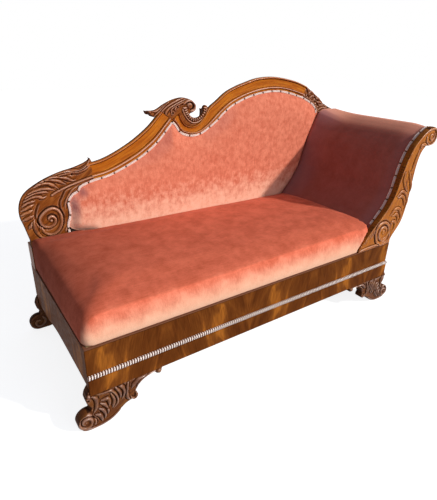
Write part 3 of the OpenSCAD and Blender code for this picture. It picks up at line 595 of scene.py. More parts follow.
def make_piece(name, points, faces, material, replaced, sharp, marks=None):
    """A piece from points in drawing millimetres, riding on the couch's one body. Marks are
    values or vectors at the points, which the materials read."""
    mesh = bpy.data.meshes.new(name)
    mesh.from_pydata(to_frame(points).tolist(), [], faces)
    for key, values in (marks or {}).items():
        values = np.asarray(values, np.float32)
        kind = "FLOAT_VECTOR" if values.ndim == 2 else "FLOAT"
        store = mesh.attributes.new(key, kind, "POINT")
        store.data.foreach_set("vector" if values.ndim == 2 else "value", values.ravel())
    shape = bmesh.new()
    shape.from_mesh(mesh)
    bmesh.ops.recalc_face_normals(shape, faces=shape.faces)
    shape.to_mesh(mesh)
    shape.free()
    mesh.materials.append(material)
    mesh.shade_smooth()
    mesh.set_sharp_from_angle(angle=math.radians(sharp))
    obj = new_object(name, mesh)
    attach(obj, "root")
    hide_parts(*replaced)
    return obj


def skin_faces(rows, columns, capped=True):
    """Four-sided faces through rows of points, closed round each row and at both ends."""
    faces = []
    for j in range(rows - 1):
        for i in range(columns):
            a, b = j * columns + i, j * columns + (i + 1) % columns
            faces.append((a, b, b + columns, a + columns))
    if capped:
        faces.append(tuple(range(columns)))
        faces.append(tuple(range((rows - 1) * columns, rows * columns))[::-1])
    return faces


def gather(parts):
    """Several (points, faces) lists as one."""
    points, faces, start = [], [], 0
    for part_points, part_faces in parts:
        points.append(np.asarray(part_points, float))
        faces += [tuple(i + start for i in face) for face in part_faces]
        start += len(part_points)
    return np.vstack(points), faces


# Carving

class Relief:
    """Height of a carved face over its flat, on cells of one millimetre."""

    margin = 6
    edge_reach = 30

    def __init__(self, outline):
        self.outline = np.asarray(outline, float)
        self.low = self.outline.min(0) - self.margin
        across, up = (np.ceil(self.outline.max(0) + self.margin - self.low)).astype(int) + 1
        self.x, self.z = np.meshgrid(self.low[0] + np.arange(across),
                                     self.low[1] + np.arange(up), indexing="ij")
        self.height = np.zeros(self.x.shape)
        self.edge = self.near(np.vstack([self.outline, self.outline[:1]]), self.edge_reach)[0]

    def near(self, line, reach):
        """How far each cell is from a line, and how far along it in shares."""
        line = np.asarray(line, float)
        away = np.full(self.x.shape, float(reach))
        share = np.zeros(self.x.shape)
        gone = lengths(line)
        for a, b, start in zip(line[:-1], line[1:], gone[:-1]):
            step = np.linalg.norm(b - a)
            if step < 1e-6:
                continue
            first = np.floor(np.minimum(a, b) - reach - self.low).astype(int).clip(0)
            last = np.ceil(np.maximum(a, b) + reach - self.low).astype(int) + 1
            if (last <= 0).any():
                continue
            cells = np.s_[first[0]:last[0], first[1]:last[1]]
            dx, dz = self.x[cells] - a[0], self.z[cells] - a[1]
            way = (b - a) / step
            along = np.clip(dx * way[0] + dz * way[1], 0, step)
            r = np.hypot(dx - along * way[0], dz - along * way[1])
            closer = r < away[cells]
            away[cells][closer] = r[closer]
            share[cells][closer] = ((start + along) / gone[-1])[closer]
        return away, share

    def strands(self, lines, width, height, sink=3.5):
        """Rounded strands along the lines, with a cut groove between neighbours."""
        nearest = np.full(self.x.shape, 9e9)
        second = np.full(self.x.shape, 9e9)
        tip = np.zeros(self.x.shape)
        for line in lines:
            away, share = self.near(smooth(line, 5), 2.2 * width)
            closer = away < nearest
            second = np.where(closer, nearest, np.minimum(second, away))
            tip = np.where(closer, share, tip)
            nearest = np.where(closer, away, nearest)
        taper = np.minimum(1, np.minimum(0.45 + 2.2 * tip, 0.12 + 3.2 * (1 - tip)))
        half = np.minimum(width * taper, (nearest + second) / 2)
        u = nearest / np.maximum(half, 0.1)
        rise = (height + sink) * np.clip(1 - u ** 2, 0, 1) ** 0.6 * (0.5 + 0.5 * taper) - sink
        self.height = np.where(u < 1.12, np.where(u < 1, rise, -sink), self.height)

    def ridge(self, line, width, height, sink=0, ends=0.15, steps=5):
        """A rounded bead along a line, with a sunk line on both sides if sink isn't 0."""
        away, share = self.near(smooth(line, steps), width + 3)
        full = np.minimum(1, np.minimum(share, 1 - share) / max(ends, 1e-6)) ** 0.5 if ends else 1
        half = np.maximum(width * full, 0.1)
        u = away / half
        if sink:
            moat = (u >= 0.85) & (away < half + 2.2)
            self.height = np.where(moat, np.minimum(self.height, -sink), self.height)
        rise = height * np.clip(1 - u ** 2, 0, 1) ** 0.5 * (0.4 + 0.6 * full)
        self.height = np.where(u < 1, np.maximum(self.height * (u > 0.85), rise), self.height)

    def groove(self, line, width, depth, ends=0.15, steps=5):
        """A hollow along a line."""
        away, share = self.near(smooth(line, steps), width)
        full = np.minimum(1, np.minimum(share, 1 - share) / max(ends, 1e-6)) if ends else 1
        cut = depth * full * np.clip(1 - (away / width) ** 2, 0, 1)
        self.height = self.height - cut

    def boss(self, centre, radius, height):
        """A round button, or a drilled hollow where the height is negative."""
        r = np.hypot(self.x - centre[0], self.z - centre[1]) / radius
        dome = height * np.clip(1 - r ** 2, 0, 1) ** 0.5
        if height > 0:
            self.height = np.where(r < 1, np.maximum(self.height, dome), self.height)
        else:
            self.height = np.where(r < 1, np.minimum(self.height, dome), self.height)

    def blurred(self, values, passes):
        """Values averaged with their neighbours."""
        for _ in range(passes):
            padded = np.pad(values, 1, mode="edge")
            values = (padded[:-2, 1:-1] + padded[2:, 1:-1] + 2 * padded[1:-1, 1:-1]) / 4
            padded = np.pad(values, 1, mode="edge")
            values = (padded[1:-1, :-2] + padded[1:-1, 2:] + 2 * padded[1:-1, 1:-1]) / 4
        return values

    def finish(self, round_r, top, bottom):
        """Softens the cuts, rounds the board's edge, and marks the recesses and raised parts by
        their height over what is around them."""
        spread, dark_below, bright_above = 14, 3.2, 2.5
        self.height = np.clip(self.blurred(self.height, 1), bottom, top)
        inset = np.clip(1 - self.edge / round_r, 0, 1)
        self.height = self.height - round_r * 0.9 * (1 - np.sqrt(1 - inset ** 2))
        around = self.blurred(self.height, spread)
        self.recess = np.clip((around - self.height) / dark_below, 0, 1)
        self.raised = np.clip((self.height - around) / bright_above, 0, 1)

    def at(self, values, points):
        """Values between the cells."""
        spot = points - self.low
        cell = np.floor(spot).astype(int)
        cell = np.clip(cell, 0, np.array(values.shape) - 2)
        f = np.clip(spot - cell, 0, 1)
        i, j = cell[:, 0], cell[:, 1]
        low_edge = values[i, j] * (1 - f[:, 0]) + values[i + 1, j] * f[:, 0]
        high_edge = values[i, j + 1] * (1 - f[:, 0]) + values[i + 1, j + 1] * f[:, 0]
        return low_edge * (1 - f[:, 1]) + high_edge * f[:, 1]


def fill_outline(relief, pitch, rims):
    """Triangles over an outline: its edge, rims set in from it and an even field of points."""
    outline = evenly(np.vstack([relief.outline, relief.outline[:1]]), pitch * 1.3)[:-1]
    turned = 1 if signed_area(outline) > 0 else -1
    loop = np.vstack([outline, outline[:1]])
    inner = [outline]
    for rim in rims:
        ring = beside(loop, turned * rim)[:-1]
        inner.append(ring[relief.at(relief.edge, ring) > rim * 0.85])
    low, high = outline.min(0), outline.max(0)
    rows = np.arange(low[1], high[1], pitch * 0.866)
    field = []
    for n, z in enumerate(rows):
        xs = np.arange(low[0] + (pitch / 2) * (n % 2), high[0], pitch)
        field.append(np.column_stack([xs, np.full(len(xs), z)]))
    field = np.vstack(field)
    keep = within(field[:, 0], field[:, 1], outline)
    keep &= relief.at(relief.edge, field) > (rims[-1] if rims else 0) + pitch * 0.6
    field = np.vstack(inner[1:] + [field[keep]])
    points = np.vstack([outline, field[within(field[:, 0], field[:, 1], outline)]])
    n = len(outline)
    edges = [(i, (i + 1) % n) for i in range(n)]
    found = delaunay_2d_cdt([Vector(p) for p in points], edges, [], 1, 1e-5)
    spots = np.array([tuple(v) for v in found[0]])
    border = {origin: new for new, origins in enumerate(found[3]) for origin in origins if origin < n}
    return spots, [tuple(f) for f in found[2]], [border[i] for i in range(n)]


def signed_area(outline):
    x, z = outline[:, 0], outline[:, 1]
    return 0.5 * np.sum(x * np.roll(z, -1) - z * np.roll(x, -1))


CARVE_PITCH = 2.2
CARVE_RIMS = (1.2, 2.8)
# Dirt and painted shade on the boards' sides and backs, as a share of recess
SIDE_DIRT_AND_SHADE = 0.34
# Behind the crest's lip: distance back, and share of the way that the board is drawn in
LIP_SECTION = ((-2, 0), (3, 0.55), (10, 1))


def carved_board(name, relief, face_y, back_y, material, replaced, along, cut=None):
    """A board of mahogany cut to an outline with its front face carved. The grain runs along a
    direction. A cut that is a direction draws the board in behind a narrow lip, so that it looks
    thin. A cut that is a width makes a rebate for the upholstery behind the facade's lip."""
    spots, faces, border = fill_outline(relief, CARVE_PITCH, CARVE_RIMS)
    height = relief.at(relief.height, spots)
    front = at_depth(spots, face_y - height)
    edge = front[border][:, [0, 2]]
    rings = [(back_y, edge)]
    if cut:
        turned = 1 if signed_area(edge) > 0 else -1
        outward = -turned * side_of(np.vstack([edge[-1:], edge, edge[:1]]))[1:-1]
        for _ in range(6):
            outward = (np.roll(outward, 1, 0) + outward + np.roll(outward, -1, 0)) / 3
        if np.ndim(cut):
            facing = -1.5 * outward @ (np.array(cut) / np.hypot(*cut))
            drawn = np.clip(facing, 0, 1)[:, None] * np.array(cut)
            rings = [(face_y + behind + LIP, edge + share * drawn) for behind, share in LIP_SECTION]
            rings.append((back_y, edge + drawn))
        else:
            drawn = -cut * outward
            rings = [(FACADE_LIP, edge), (FACADE_LIP + 0.8, edge + drawn), (back_y, edge + drawn)]
    before, points = list(border), [front]
    for y, ring in rings:
        start = sum(len(p) for p in points)
        points.append(at_depth(ring, y))
        after = list(range(start, start + len(border)))
        faces += wall_faces(before, after)
        before = after
    flat = filled(rings[-1][1])
    total = sum(len(p) for p in points)
    crossings = [i for i, origins in enumerate(flat[3]) if not origins]
    if crossings:
        points.append(np.array([[flat[0][i][0], back_y, flat[0][i][1]] for i in crossings]))
    back_index = [before[origins[0]] if origins else total + crossings.index(i)
                  for i, origins in enumerate(flat[3])]
    faces += [tuple(back_index[i] for i in face) for face in flat[2]]
    points = np.vstack(points)
    along = np.asarray(along, float)
    across = np.array([-along[1], along[0]])
    plane = points[:, [0, 2]]
    grain = np.column_stack([plane @ along, plane @ across, points[:, 1]])
    sides = np.ones(len(points) - len(spots))
    recess = np.concatenate([relief.at(relief.recess, spots), SIDE_DIRT_AND_SHADE * sides])
    raised = np.concatenate([relief.at(relief.raised, spots), 0 * sides])
    return make_piece(name, points, faces, material, replaced, 50,
                      {"grain": grain, "recess": recess, "raised": raised})


def crest_scroll():
    """The crest's left end: a volute, a fan of acanthus strands and a plain field."""
    tip = [[262, 747], [273, 757], [276, 746], [281, 739]]
    top = scroll_outer[:-1].tolist() + [[246, 739]]
    foot = [[150, RAIL_TOP + POST_H], [2, RAIL_TOP + POST_H]]
    outline = np.vstack([smooth(top, 5), tip, smooth(scroll_inner, 5)[::-1], foot])
    relief = Relief(outline)
    relief.height += 0.5
    relief.ridge([[315, 687], [249, 674], [208, 664], [168, 653], [130, 640], [102, 626]],
                 5, 7, 1.5, 0.02)
    relief.groove([[56, 608], [42, 582], [33, 552], [38, 527], [50, 505]], 5, 7)
    relief.strands([
        [[85, 688], [121, 699], [159, 692], [193, 675], [212, 679]],
        [[70, 684], [102, 691], [132, 684], [152, 672], [170, 662]],
        [[45, 668], [71, 679], [96, 678], [120, 663], [138, 647]],
        [[20, 645], [50, 655], [80, 657], [106, 652], [124, 643]],
        [[8, 630], [36, 644], [62, 647], [83, 645], [99, 638]],
        [[0, 618], [28, 631], [53, 630], [71, 623], [90, 628]],
        [[-8, 600], [10, 611], [25, 613], [45, 617]],
        [[-14, 583], [1, 589], [16, 596], [38, 602]],
        [[-17, 565], [-2, 571], [13, 575], [31, 582]],
        [[-14, 543], [-2, 547], [12, 552], [30, 558]],
        [[28, 536], [20, 524], [10, 514], [0, 504]],
        [[120, 706], [162, 714], [193, 713], [225, 713], [255, 728], [273, 756]],
        [[140, 701], [184, 709], [218, 707], [251, 717], [279, 734]]], 9, 7, 4.5)
    relief.boss((194, 700), 5, -8)
    relief.strands([
        [[26, 534], [25, 515], [30, 489], [44, 464], [64, 454]],
        [[46, 506], [48, 488], [56, 469], [74, 456]]], 9, 6, 4)
    volute = smooth([[50, 505], [58, 481], [76, 467], [96, 467], [116, 481], [129, 506], [131, 533],
                     [126, 554], [108, 571], [86, 571], [63, 556], [50, 537], [54, 514], [65, 503],
                     [84, 500], [102, 510], [106, 528], [96, 540], [83, 536], [81, 525]], 5)
    relief.groove(beside(volute, -8), 6, 6, 0.04, 1)
    relief.ridge(volute, 6.5, 7, 0, 0.05, 1)
    relief.boss((91, 524), 7, 7)
    relief.groove([[212, 656], [179, 649], [159, 640], [143, 614], [131, 590], [132, 563], [140, 541],
                   [147, 520]], 5, 7)
    relief.strands([
        [[214, 652], [189, 638], [173, 619], [159, 597], [151, 574], [152, 549]],
        [[159, 492], [146, 476], [138, 461]], [[180, 487], [165, 473], [154, 460]]], 6, 5, 3)
    relief.finish(6, 8, -8)
    carved_board("crest_scroll_carving", relief, CREST_Y + 2, CREST_BACK, CARVED,
                 ("crest_scroll",), (0.8, 0.6), (14, -16))


def crest_shell():
    """The cresting: an acanthus that curls over, and the open fluted cup beside it."""
    cup = SHELL + [18, 10]
    top = smooth(from_shell([[-225, 11], [-186, 12], [-143, 34], [-99, 51], [-55, 58], [-17, 50],
                             [4, 36], [16, 19], [11, -2], [-7, -10]]), 5)
    outline = np.vstack([from_shell([[-160, 5], [-194, -18]]), top, arc(cup, 42, 215, 345, 24),
                         from_shell([[55, 15], [65, 22], [77, 18]]),
                         smooth(high_outer[:8], 5)[::-1], low_inner[-1:]])
    relief = Relief(outline)
    relief.strands([
        [[526, 928], [545, 923], [560, 919]],
        [[560, 893], [593, 924], [621, 948], [658, 968], [706, 977]],
        [[540, 919], [576, 923], [594, 934], [621, 952], [662, 971]],
        [[588, 893], [602, 920], [625, 938], [653, 951], [686, 965], [718, 973]],
        [[620, 886], [622, 911], [634, 928], [658, 941], [691, 955], [733, 968]],
        [[652, 904], [648, 924], [657, 933], [681, 944], [705, 954], [741, 966]],
        [[671, 918], [667, 931], [678, 936], [690, 932]]], 9, 6, 5)
    curl = smooth([[706, 944], [724, 956], [746, 959], [764, 951], [772, 936], [763, 918], [743, 914]], 5)
    relief.groove(beside(curl, -9), 8, 7, 0.05, 1)
    relief.ridge(curl, 6, 8, 0, 0.08, 1)
    relief.boss((741, 937), 13, 8)
    middle = np.array([768.0, 930.0])
    spokes = []
    for k in range(17):
        turn = math.radians(-178 + 11.5 * k)
        out = np.array([math.cos(turn), math.sin(turn)])
        spokes.append([middle + 38 * out, middle + 50 * out, middle + 70 * out])
    relief.strands(spokes, 6.2, 5, 5)
    relief.ridge([[704, 927], [714, 902], [736, 875], [763, 862], [796, 869], [823, 892], [834, 925]],
                 4, 4, 2, 0.05)
    for eye in ((593, 899), (619, 890), (657, 909), (681, 934)):
        relief.boss(eye, 5, -8)
    relief.finish(5, 8, -8)
    carved_board("crest_shell_carving", relief, CREST_Y + 2, CREST_BACK, CARVED,
                 ("crest_shell",), (0.8, 0.6), (4, -18))


def crest_leaf():
    """The leaf at the crest's right end, cut by deep grooves, running down to the arm."""
    outline = np.vstack([smooth(leaf_outer, 6), smooth(leaf_inner, 6)[::-1]])
    relief = Relief(outline)
    relief.ridge([[1420, 966], [1470, 944], [1510, 922], [1545, 894], [1556, 872]], 5, 5, 0, 0.05)
    relief.strands([
        [[1432, 980], [1446, 996], [1456, 1008]],
        [[1458, 952], [1478, 968], [1500, 974], [1520, 968]],
        [[1480, 938], [1500, 950], [1518, 952], [1530, 950]],
        [[1504, 923], [1534, 938], [1560, 938], [1580, 926]],
        [[1524, 908], [1554, 918], [1576, 916], [1592, 910]],
        [[1542, 890], [1572, 902], [1596, 903], [1620, 898]],
        [[1552, 872], [1586, 888], [1610, 890], [1640, 890]],
        [[1560, 866], [1610, 876], [1650, 880], [1690, 876]]], 9, 6, 4)
    for line in ([[1400, 1015], [1433, 1008], [1458, 994], [1470, 974], [1472, 957], [1489, 948]],
                 [[1522, 961], [1532, 940], [1534, 925], [1555, 908], [1567, 894]],
                 [[1601, 920], [1609, 901], [1616, 890]], [[1636, 891], [1649, 884]]):
        relief.groove(line, 6, 8, 0.1)
    relief.finish(5, 8, -8)
    carved_board("crest_leaf_carving", relief, CREST_Y + 2, CREST_BACK, CARVED,
                 ("crest_leaf",), (0.8, -0.6), (-8, -16))


def arm_facade():
    """The arm's carved front: a bead up its inner edge, husks up the outer edge, a volute at
    its foot and the scrolled top."""
    outline = np.vstack([smooth(arm_inner, 5), arc(ROLL, ROLL_R, 80, -60, 20), smooth(arm_outer, 5)])
    relief = Relief(outline)
    relief.height += 1
    bead = [[1280, 332], [1300, 352], [1362, 420], [1416, 470], [1459, 518], [1492, 580], [1510, 654],
            [1530, 722], [1561, 780], [1604, 823], [1642, 848], [1680, 862]]
    roll_bead = arc(ROLL, ROLL_R - 5, 85, -190, 30)
    rim = smooth(np.vstack([bead[:-1], roll_bead[2:]]), 4)
    relief.ridge(rim, 5.5, 6, 2.5, 0.02, 1)
    relief.groove(winding(ROLL, 26, 10, 60, -300), 6, 5, 0.1, 1)
    relief.ridge(winding(ROLL, 21, 8, 60, -360), 5, 6, 0, 0.1, 1)
    relief.boss(ROLL - [4, 2], 7, 6)
    relief.strands([
        [[1664, 783], [1640, 790], [1622, 786], [1611, 772], [1613, 750]],
        [[1611, 775], [1606, 750], [1596, 720], [1591, 697], [1578, 666]],
        [[1536, 672], [1538, 633], [1562, 595], [1590, 568]],
        [[1564, 674], [1590, 628], [1606, 593], [1606, 560]],
        [[1508, 560], [1536, 580], [1572, 568], [1595, 533], [1594, 498], [1587, 468]],
        [[1520, 552], [1552, 554], [1574, 530], [1582, 496]],
        [[1485, 470], [1509, 495], [1545, 493], [1572, 456], [1567, 430], [1550, 408]],
        [[1502, 463], [1532, 468], [1550, 447], [1547, 421]],
        [[1502, 408], [1509, 432], [1537, 424], [1536, 395], [1521, 377]]], 10, 6, 4)
    volute = smooth([[1506, 378], [1506, 345], [1480, 328], [1438, 328], [1414, 353], [1398, 398],
                     [1413, 434], [1452, 440], [1486, 420], [1496, 390], [1482, 362], [1452, 352],
                     [1430, 368], [1424, 394], [1438, 414], [1460, 414], [1474, 398], [1468, 382]], 5)
    relief.groove(beside(volute, 9), 7, 6, 0.04, 1)
    relief.ridge(volute, 7, 7, 0, 0.05, 1)
    relief.boss((1453, 392), 12, 7)
    relief.strands([
        [[1386, 418], [1370, 390], [1350, 369]], [[1372, 406], [1358, 388], [1342, 371]],
        [[1361, 400], [1345, 378], [1329, 357]], [[1350, 388], [1334, 370], [1318, 352]],
        [[1340, 382], [1322, 366], [1305, 349]], [[1326, 368], [1310, 354], [1298, 344]]], 6, 5, 3)
    relief.ridge([[1292, 328], [1341, 333], [1406, 333], [1440, 324]], 5, 5, 2)
    relief.finish(5, 5, -9)
    carved_board("arm_facade_carving", relief, -1, FACADE_T, FACADE_WOOD,
                 ("arm_facade",), (0.3, 0.95), FACADE_REBATE)


FOOT_DRAWN_H = 140
FOOT_BOARD_T = 24
FOOT_SCROLL = (-12, 38)
FOOT_KNOB = (247, 129)


def foot_outline():
    lower = smooth([[30, 0], [67, 10], [98, 32], [118, 46], [134, 51]], 4)
    upper = smooth([[161, 92], [168, 110], [184, 123], [208, 132], [228, 133]], 4)
    left = [[0, 140], [0, 164], [-10, 148], [-15, 130], [-12, 110], [0, 88]]
    return np.vstack([left, arc(FOOT_SCROLL, 38, 80, 270, 24), lower, arc((147, 68), 15, -110, 60, 12),
                      upper, arc(FOOT_KNOB, 12, 200, 370, 12), [[262, 140]]])


def feet():
    """Four scrolled feet. The front pair has acanthus curling down into a volute; the back
    pair is plain."""
    outline = foot_outline()
    carved = Relief(outline)
    carved.height += 0.5
    carved.strands([
        [[-26, 150], [-11, 143], [9, 137], [18, 116], [17, 91], [9, 74], [0, 60]],
        [[8, 142], [43, 138], [62, 136], [77, 120], [88, 94], [88, 71], [76, 55], [66, 51]],
        [[34, 108], [57, 103], [59, 82], [53, 63]],
        [[68, 118], [77, 92], [72, 66], [66, 54]],
        [[30, 96], [47, 80], [53, 57], [51, 35]],
        [[24, 76], [38, 62], [43, 40], [38, 22]],
        [[10, 57], [24, 48], [31, 29], [28, 14]],
        [[-3, 44], [5, 28], [-4, 16]],
        [[74, 150], [96, 141], [110, 123], [115, 104], [109, 87], [101, 68]],
        [[85, 136], [98, 109], [99, 81]],
        [[130, 134], [122, 96], [128, 67], [140, 51]],
        [[154, 88], [160, 70], [152, 55], [139, 61], [135, 77]],
        [[232, 136], [205, 134], [180, 124], [166, 106], [156, 90]],
        [[200, 137], [172, 132], [150, 118], [138, 98]]], 9, 7, 5)
    eye = smooth([[-2, 62], [-20, 72], [-40, 66], [-47, 48], [-42, 28], [-24, 18], [-8, 26], [-6, 44],
                  [-18, 54], [-32, 48], [-32, 38], [-24, 34]], 5)
    carved.groove(beside(eye, -8), 6, 6, 0.05, 1)
    carved.ridge(eye, 6, 7, 0, 0.06, 1)
    carved.boss((-25, 42), 6, 6)
    carved.boss((-8, 122), 5, -8)
    carved.ridge([[-38, 10], [2, 4], [45, 7], [78, 22], [100, 40]], 5, 4, 1, 0.1)
    carved.boss(FOOT_KNOB, 9, 6)
    carved.finish(6, 8, -9)
    plain = Relief(outline)
    plain.ridge(winding(FOOT_SCROLL, 30, 8, 60, -330), 6, 4, 1.5, 0.08, 1)
    plain.finish(8, 5, -4)
    scale = RAIL_BOTTOM / FOOT_DRAWN_H
    for name, relief, face_y, back_y, side in (
            ("foot_front_left", carved, -5, RAIL_T, 1), ("foot_front_right", carved, -5, RAIL_T, -1),
            ("foot_back_left", plain, BACK_Y - FOOT_BOARD_T, BACK_Y, 1),
            ("foot_back_right", plain, BACK_Y - FOOT_BOARD_T, BACK_Y, -1)):
        obj = carved_board(name + "_scroll", relief, face_y, back_y, FOOT_WOOD, (name,), (0.9, 0.4))
        if side < 0 or scale != 1:
            middle = (rail_low.x + rail_high.x) / 2
            flip = Matrix.Translation((middle, 0, 0)) @ Matrix.Diagonal((side, 1, scale, 1))
            obj.data.transform(flip @ Matrix.Translation((-middle, 0, 0)))
            if side < 0:
                obj.data.flip_normals()


def bead(middle, half, low, high):
    """A round bead of a section, over nine points."""
    turn = np.linspace(0, math.pi, 9)
    return [(middle - half * math.cos(t), low + (high - low) * math.sin(t)) for t in turn]


# The crest's section from its outer edge to the gimp: share of the width, height over the board
CREST_SECTION = ([(0, -8), (0.004, -5)] + bead(0.075, 0.068, -3, 5.2) + [(0.15, -4.5), (0.175, -4.8)]
                 + [(0.186, -1.2), (0.3, -1.8), (0.45, -2.4), (0.6, -2), (0.7, -1.2)]
                 + [(0.708, -4.2), (0.728, -4.4)] + bead(0.8, 0.066, -2.5, 7.8)
                 + [(0.872, -3.4), (0.905, -3.2), (0.912, 0.6), (0.975, 0.6), (1, -0.4)])


def crest_run(name, outer, inner, replaced):
    """A moulded length of the crest, worked between its outer and inner curves."""
    o = smooth(outer, 10)
    i = smooth(inner, 10)
    share = np.array([s for s, h in CREST_SECTION])
    rise = np.array([h for s, h in CREST_SECTION])
    gone = lengths((o + i) / 2)
    rows, marks, dark, bright = [], [], [], []
    for p, q, run in zip(o, i, gone):
        plane = p + (q - p) * share[:, None]
        ring = at_depth(plane, CREST_Y - rise)
        cut = p + (q - p) * 0.35
        rear = [[q[0], CREST_BACK, q[1]], [cut[0], CREST_BACK, cut[1]], [p[0], CREST_Y + LIP, p[1]]]
        rows.append(np.vstack([ring, rear]))
        width = np.linalg.norm(q - p)
        mark = np.column_stack([np.full(len(share), run), share * width, rise])
        marks.append(np.vstack([mark, [[run, width, -40], [run, 0.35 * width, -40], [run, 0, -12]]]))
        # Dirt and painted shade in the section's sunk parts and on its rear faces, and wear with a
        # painted highlight on its beads
        dark.append(np.concatenate([np.clip(-(rise + 2.6) / 3, 0, 1), [0.2, 0.2, 0.2]]))
        bright.append(np.concatenate([np.clip((rise - 3.5) / 4, 0, 1), [0, 0, 0]]))
    columns = len(rows[0])
    faces = skin_faces(len(rows), columns)
    make_piece(name, np.vstack(rows), faces, CREST_VENEER, replaced, 50,
               {"grain": np.vstack(marks), "recess": np.concatenate(dark),
                "raised": np.concatenate(bright)})


# Rails and their trim

def rounded_board(name, low, high, radius, material, replaced):
    """A board with eased edges."""
    shape = bmesh.new()
    bmesh.ops.create_cube(shape, size=1)
    size = np.asarray(high, float) - low
    middle = (np.asarray(high, float) + low) / 2
    for v in shape.verts:
        v.co = Vector(np.array(v.co) * size + middle)
    bmesh.ops.bevel(shape, geom=list(shape.edges), offset=radius, segments=3, affect="EDGES")
    shape.verts.index_update()
    points = np.array([tuple(v.co) for v in shape.verts])
    faces = [tuple(v.index for v in f.verts) for f in shape.faces]
    shape.free()
    return make_piece(name, points, faces, material, replaced, 40, {"grain": points})


def rope_moulding():
    """Half-round moulding carved into strands that lean a little, as a spiral would."""
    pitch = 9.23
    lean = 1.5
    groove = 2.6
    end_dirt_and_shade = 0.6
    step = pitch / 7
    xs = np.arange(0, RAIL_LEN + 0.1, step)
    xs[-1] = RAIL_LEN
    turn = np.radians(np.linspace(-88, 88, 13))
    low = RAIL_BOTTOM + APRON_H
    across = np.sin(turn)
    wave = (xs[:, None] - lean * across[None, :]) / pitch
    strand = np.abs(np.sin(math.pi * wave)) ** 0.6
    depth = ROPE_OUT - groove * (1 - strand)
    y = -depth * np.cos(turn)[None, :] ** 0.7
    z = low + ROPE_H / 2 + (ROPE_H / 2) * across[None, :] * np.ones_like(xs)[:, None]
    x = np.repeat(xs[:, None], len(turn), 1)
    rows = np.stack([x, y, z], 2)
    foot, top = [np.stack([x[:, :1], np.zeros_like(x[:, :1]), z[:, side]], 2)
                 for side in (np.s_[:1], np.s_[-1:])]
    rows = np.concatenate([foot, rows, top], 1)
    # Dirt and painted shade: the gaps between the strands and the rows at top and foot darken
    gap = 1 - np.abs(np.sin(math.pi * wave))
    dirt = np.full((len(xs), 1), end_dirt_and_shade)
    recess = np.concatenate([dirt, gap, dirt], 1)
    make_piece("rope_moulding_strands", rows.reshape(-1, 3), skin_faces(len(xs), rows.shape[1]),
               ROPE_PALE, ("rope_moulding",), 60, {"recess": recess.ravel()})


def rails():
    """The veneered front rail and its apron, edges eased by wear, and the left post, which ends
    under the crest scroll."""
    worn_edge, glue_line = 1.6, 0.05
    rounded_board("front_rail_board", (0, 0, RAIL_BOTTOM), (RAIL_LEN, RAIL_T, RAIL_TOP), worn_edge,
                  FLAME, ("front_rail",))
    rounded_board("front_apron_board", (0, -APRON_T, RAIL_BOTTOM),
                  (RAIL_LEN, -glue_line, RAIL_BOTTOM + APRON_H), worn_edge, FLAME,
                  ("front_apron",))
    low, high = [np.array(corner) / MM - DRAWING_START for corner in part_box("back_post_left")]
    rounded_board("left_post_board", low, (high[0], high[1], RAIL_TOP + POST_H), 1.2, CARVED,
                  ("back_post_left",))


# Upholstery

def sewn_nails(line):
    """Where the gimp's nails are along its line, as lengths."""
    total = lengths(line)[-1]
    n = math.floor(total / NAIL_PITCH)
    return (total - n * NAIL_PITCH) / 2 + NAIL_PITCH * np.arange(n + 1)


def gimp(name, line, across, out, width, replaced):
    """Gimp braid: a flat plait with two raised cords, drawn in where each nail holds it. Line
    is its middle, across the way of its width and out the way it stands off, point by point."""
    pinch_reach, head_reach, plait_pitch = 4.5, 3.0, 3.1
    gone = lengths(line)
    near = np.min(np.abs(gone[:, None] - sewn_nails(line)[None, :]), 1)
    pinch = np.exp(-(near / pinch_reach) ** 2)
    turn = np.linspace(-1, 1, 13)
    cords = 0.55 + 0.45 * np.abs(np.sin(math.pi * turn)) ** 0.7
    edge = np.clip((1 - np.abs(turn)) / 0.2, 0, 1) ** 0.5
    rows = []
    for k in range(len(line)):
        half = width / 2 * (1 - 0.3 * pinch[k])
        plait = 0.18 * math.sin(2 * math.pi * gone[k] / plait_pitch)
        tall = GIMP_T * (1 - 0.55 * pinch[k]) * (cords + plait * np.abs(turn)) * edge * 0.92
        top = line[k] + np.outer(turn * half, across[k]) + np.outer(np.maximum(tall, 0.05), out[k])
        bottom = line[k] + np.outer([half, -half], across[k])
        rows.append(np.vstack([top, bottom]))
    columns = len(rows[0])
    place = np.concatenate([turn * width / 2, [width / 2, -width / 2]])
    marks = np.vstack([np.column_stack([np.full(columns, s), place, np.zeros(columns)]) for s in gone])
    # Painted shade in the pinch at each nail, which the braid's material reads as recess
    held = np.repeat(np.exp(-(near / head_reach) ** 4), columns)
    make_piece(name, np.vstack(rows), skin_faces(len(rows), columns), BRAID, replaced, 60,
               {"grain": marks, "recess": held})


def nail_heads(name, line, out, stand_off, replaced):
    """Domed nail heads, 7 mm across, on the middle of a gimp."""
    radius, height, around = 3.5, 2.2, 16
    gone = lengths(line)
    rings = [(1.0, 0.0), (1.0, 0.35), (0.86, 0.62), (0.55, 0.88), (0.2, 0.99)]
    parts = []
    for at in sewn_nails(line):
        k = int(np.argmin(np.abs(gone - at)))
        axis = Vector(out[k])
        turned = axis.to_track_quat("Z", "Y").to_matrix()
        foot = line[k] + np.array(axis) * stand_off
        turn = np.linspace(0, 2 * math.pi, around + 1)[:-1]
        rows = [[foot + np.array(turned @ Vector((radius * r * math.cos(t), radius * r * math.sin(t),
                                                  height * h)))
                 for t in turn] for r, h in rings]
        parts.append((np.vstack(rows), skin_faces(len(rings), around)))
    points, faces = gather(parts)
    make_piece(name, points, faces, NAIL_BRASS, replaced, 50)


